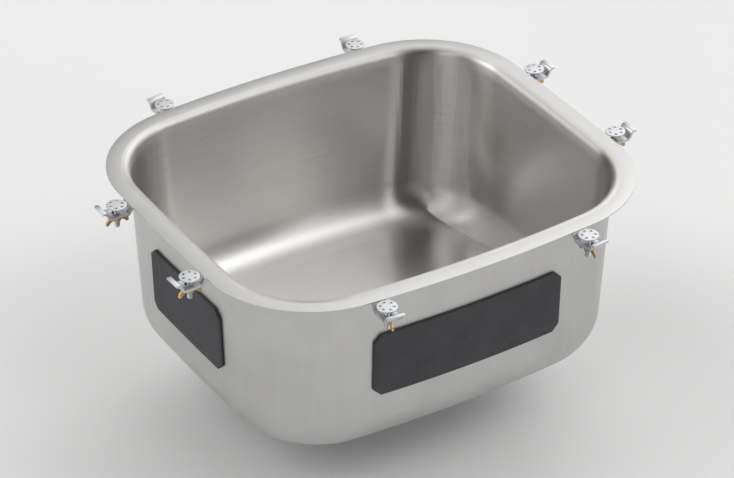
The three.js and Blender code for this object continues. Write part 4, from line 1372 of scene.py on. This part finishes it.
def make_lock_nut():
    """A round nut with six lugs, which draws the strainer's flange down onto the bowl."""
    bore = THREAD_RADIUS + TURN_GAP
    rim = bore + LOCK_NUT_WALL
    low = NUT_TOP - LOCK_NUT_HEIGHT
    nut = turned("strainer_lock_nut", [(bore, low), (rim, low), (rim, NUT_TOP), (bore, NUT_TOP)], TURNED_ZINC)
    start = bore + LOCK_NUT_WALL / 2
    lug_low = NUT_TOP - LUG_HEIGHT
    outline = [(start, lug_low), (rim + LUG_REACH, lug_low), (rim + LUG_REACH, NUT_TOP), (start, NUT_TOP)]
    for i in range(LOCK_NUT_LUGS):
        lug = extruded("lug", outline, -LUG_WIDTH / 2, LUG_WIDTH / 2, TURNED_ZINC)
        turn_about_z(lug, 2 * math.pi * i / LOCK_NUT_LUGS)
        combine(nut, lug, "UNION")
    return bevel(nut, LOCK_NUT_BEVEL, segments=3)


# ------------------------------------------------------------------ basket and stopper


def make_basket():
    """The perforated cup: slots around its wall and rings of holes in its floor."""
    wall = SHELF_RADIUS - BASKET_WALL_CLEARANCE
    rim_z = SHOULDER_Z + SEAT_GAP
    rim_top = rim_z + BASKET_RIM
    foot = wall - BASKET_TAPER
    floor_top = BASKET_FLOOR_Z + BASKET_SHEET
    bore = STEM_RADIUS + TURN_GAP
    rim = CUP_RADIUS - BASKET_CLEARANCE
    basket = turned(
        "basket",
        rounded(
            [
                (bore, BASKET_FLOOR_Z, 0.2),
                (foot, BASKET_FLOOR_Z, BASKET_BEND),
                (wall, rim_z, 0.4),
                (rim, rim_z, 0.5),
                (rim, rim_top, 0.5),
                (wall - BASKET_SHEET, rim_top, 1.2),
                (foot - BASKET_SHEET, floor_top, BASKET_BEND - BASKET_SHEET),
                (bore, floor_top, 0.2),
            ]
        ),
        POLISHED,
    )
    bend_z = BASKET_FLOOR_Z + BASKET_BEND
    middle = (rim_z + bend_z) / 2
    half = BASKET_SLOT_WIDTH / 2
    low = middle - BASKET_SLOT_HEIGHT / 2
    high = middle + BASKET_SLOT_HEIGHT / 2
    slot_corners = [(-half, low), (half, low), (half, high), (-half, high)]
    outline = rounded([(x, z, BASKET_SLOT_CORNER) for x, z in slot_corners])
    reach = 1.5 * BASKET_TAPER  # past both faces of the leaning wall
    slot = extruded("slot", outline, -reach, reach, POLISHED)
    turn_about_z(slot, math.pi / 2)
    cut_ring(basket, slot, BASKET_SLOTS, wall - BASKET_TAPER / 2, math.pi / BASKET_SLOTS)
    flat = wall - BASKET_TAPER - BASKET_BEND
    for i, count in enumerate(BASKET_HOLE_RINGS):
        ring = bore + (flat - bore) * (i + 1) / (len(BASKET_HOLE_RINGS) + 0.5)
        radius = BASKET_HOLE_RADIUS
        under = BASKET_FLOOR_Z - 1
        hole_profile = [(0, under), (radius, under), (radius, bend_z), (0, bend_z)]
        hole = turned("hole", hole_profile, POLISHED, BASKET_HOLE_STEPS)
        cut_ring(basket, hole, count, ring)
    return basket


def make_stem():
    pin_end = OUTLET_TOP - PIN_IN_CROSS - STOPPER_TRAVEL
    collar = STOPPER_Z + STOPPER_THICKNESS + SEAT_GAP
    top = KNOB_BOTTOM - SEAT_GAP
    corners = [
        (0, pin_end, 0),
        (PIN_RADIUS, pin_end, 1.2),
        (PIN_RADIUS, collar, 0.2),
        (STEM_RADIUS, collar, 0.4),
        (STEM_RADIUS, top, 0.3),
        (0, top, 0),
    ]
    return turned("stem", rounded(corners), POLISHED, STEM_STEPS)


def make_knob():
    top = KNOB_BOTTOM + KNOB_HEIGHT
    corners = [
        (0, KNOB_BOTTOM, 0),
        (STEM_RADIUS + 1.5, KNOB_BOTTOM, 0.4),
        (STEM_RADIUS + 1, KNOB_BOTTOM + KNOB_HEIGHT / 3, 3),
        (KNOB_RADIUS - 0.6, top - 3.6, 1.2),
        (KNOB_RADIUS, top - 0.6, 0.9),
        (KNOB_RADIUS - 3, top, 2),
        (0, top - 0.4, 0),
    ]
    return turned("knob", rounded(corners), POLISHED, KNOB_STEPS)


def make_stopper():
    rim = OUTLET_RADIUS + STOPPER_OVERLAP
    bore = PIN_RADIUS + TURN_GAP
    top = STOPPER_Z + STOPPER_THICKNESS
    corners = [
        (bore, STOPPER_Z, 0.2),
        (rim - 1.5, STOPPER_Z, 1),
        (rim, STOPPER_Z + 1.2, 0.6),
        (rim - 2, STOPPER_Z + STOPPER_THICKNESS / 2, 2),
        (STEM_RADIUS + 4, top, 2),
        (bore, top, 0.3),
    ]
    return turned("rubber_disc", rounded(corners), SEAL, KNOB_STEPS)


# ------------------------------------------------------------------ assembly


def fit(piece, body, slot, *nodes):
    """A piece rides on a body and stands for its nodes, which are hidden. Its slot is not used."""
    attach(piece, body)
    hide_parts(*nodes)


def clamp_nodes(prefix):
    """The frame's eight nodes of one kind of clamp piece."""
    return sorted(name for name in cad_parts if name.startswith(prefix))


def build_sink():
    fit(make_bowl(), "root", "bowl_steel", "bowl")
    for node, pad in make_pads().items():
        fit(pad, "root", "pad_rubber", node)
    straps = set_around("clamp_straps", make_strap(), 0, PLATED)
    studs = set_around("clamp_studs", make_stud(), STUD_AT, PLATED)
    nuts = set_around("wing_nuts", make_wing_nut(), STUD_AT, CAST_BRASS)
    fit(straps, "root", "clamp_zinc", *clamp_nodes("clamp_strap_"))
    fit(studs, "root", "clamp_zinc", *clamp_nodes("clamp_stud_"))
    fit(nuts, "root", "nut_brass", *clamp_nodes("wing_nut_"))

    bore = THREAD_RADIUS + TURN_GAP
    rim = DRAIN_HOLE_RADIUS + WASHER_MARGIN
    seal_rim = LIP_RADIUS - LIP_TO_STEP
    seal = make_washer("lip_seal", bore, seal_rim, -SEAT_DEPTH, LIP_UNDERSIDE, 0.4, SEAL)
    rubber = make_washer("neck_rubber_washer", bore, rim, FIBRE_TOP, WASHER_TOP, 0.7, SEAL)
    fibre = make_washer("neck_fibre_washer", bore, rim - 1, NUT_TOP, FIBRE_TOP, 0.2, FIBRE_BOARD)
    fit(make_strainer_body(), "root", "strainer_steel", "strainer_body")
    fit(make_strainer_outlet(), "root", "strainer_steel", "strainer_outlet")
    fit(seal, "root", "seal_rubber", "strainer_seal")
    fit(rubber, "root", "seal_rubber", "rubber_washer")
    fit(fibre, "root", "washer_fibre", "fibre_washer")
    fit(make_lock_nut(), "root", "clamp_zinc", "lock_nut")

    fit(make_basket(), "basket", "strainer_steel", "basket_cup")
    fit(make_stem(), "stopper", "strainer_steel", "stopper_stem")
    fit(make_knob(), "stopper", "strainer_steel", "stopper_knob")
    fit(make_stopper(), "stopper", "seal_rubber", "rubber_stopper")


# ------------------------------------------------------------------ stage, light and camera

CAMERA_AZIMUTH = math.radians(-31.89)
CAMERA_ELEVATION = math.radians(33.61)
CAMERA_DISTANCE = 3605.7
CAMERA_LENS = 163
CAMERA_TARGET = Vector((-4, 0, -91))
CAMERA_CLIP_M = 100
FLOOR_SIZE_M = 14
FLOOR_GAP = 0.2  # how far under the part the floor lies
PALE = (0.86, 0.86, 0.855, 1)
FILL_LEVEL = 0.03
SOFT_LAMPS = (  # azimuth, elevation and spread from middle to edge in degrees, strength
    (24, 30, 38, 1.6),
    (60, 50, 38, 1.05),
    (135, 35, 16, 2.0),
    (150, 22, 28, 2.4),
    (150, 52, 25, 1.35),
    (195, 55, 16, 1.4),
    (210, 12, 25, 1.05),
    (210, 40, 16, 1.1),
    (255, 70, 16, 0.4),
    (285, 25, 16, 2.35),
    (285, 55, 16, 1.45),
    (300, 55, 16, 0.75),
    (315, 40, 16, 2.75),
    (330, 52, 25, 0.8),
    (336, 32, 25, 1.25),
)


def make_floor():
    """A large plain floor under the part, pale and matt with a very faint mottle."""
    half = FLOOR_SIZE_M / 2 / MM
    z = cad_bounds[0][2] / MM - FLOOR_GAP
    corners = [(-half, -half, z), (half, -half, z), (half, half, z), (-half, half, z)]
    material, tree, shader, position = new_material("floor_paper")
    cloud = use_group(tree, BLOTCHES, vector=position, scale=3.0)["Value"]
    tree.links.new(shade(tree, PALE, cloud, share=0.01), shader["Base Color"])
    shader["Roughness"].default_value = 0.9
    shader["Specular IOR Level"].default_value = 0.2
    floor = new_piece("floor", corners, [[0, 1, 2, 3]], material)


def make_world():
    """A studio of soft lamps, each a round patch of light that fades towards its edge, over a dim fill."""
    world = bpy.data.worlds.new("studio")
    bpy.context.scene.world = world
    world.use_nodes = True
    tree = world.node_tree
    shader = tree.nodes["Background"]
    direction = tree.nodes.new("ShaderNodeTexCoord").outputs["Generated"]
    level = FILL_LEVEL
    for azimuth, elevation, spread, strength in SOFT_LAMPS:
        a, e = math.radians(azimuth), math.radians(elevation)
        towards = (math.cos(a) * math.cos(e), math.sin(a) * math.cos(e), math.sin(e))
        nearness = vector_maths(tree, "DOT_PRODUCT", direction, towards)
        patch = between(tree, nearness, low=math.cos(math.radians(spread)), high=1.0)
        level = maths(tree, "MULTIPLY_ADD", patch, strength, level)
    light = add_node(tree, "ShaderNodeCombineColor", {0: level, 1: level, 2: level}).outputs[0]
    seen = tree.nodes.new("ShaderNodeLightPath").outputs["Is Camera Ray"]
    tree.links.new(blend_colours(tree, seen, light, PALE), shader.inputs["Color"])
    shader.inputs["Strength"].default_value = 1


def make_camera():
    camera = bpy.data.objects.new("camera", bpy.data.cameras.new("camera"))
    bpy.context.scene.collection.objects.link(camera)
    camera.data.lens = CAMERA_LENS
    camera.data.clip_end = CAMERA_CLIP_M
    turn = Matrix.Rotation(CAMERA_AZIMUTH, 3, "Z") @ Matrix.Rotation(math.pi / 2 - CAMERA_ELEVATION, 3, "X")
    camera.location = (CAMERA_TARGET + turn @ UP * CAMERA_DISTANCE) * MM
    camera.rotation_euler = turn.to_euler()
    bpy.context.scene.camera = camera


build_sink()
make_floor()
make_world()
make_camera()
bpy.context.scene.view_settings.view_transform = "Standard"
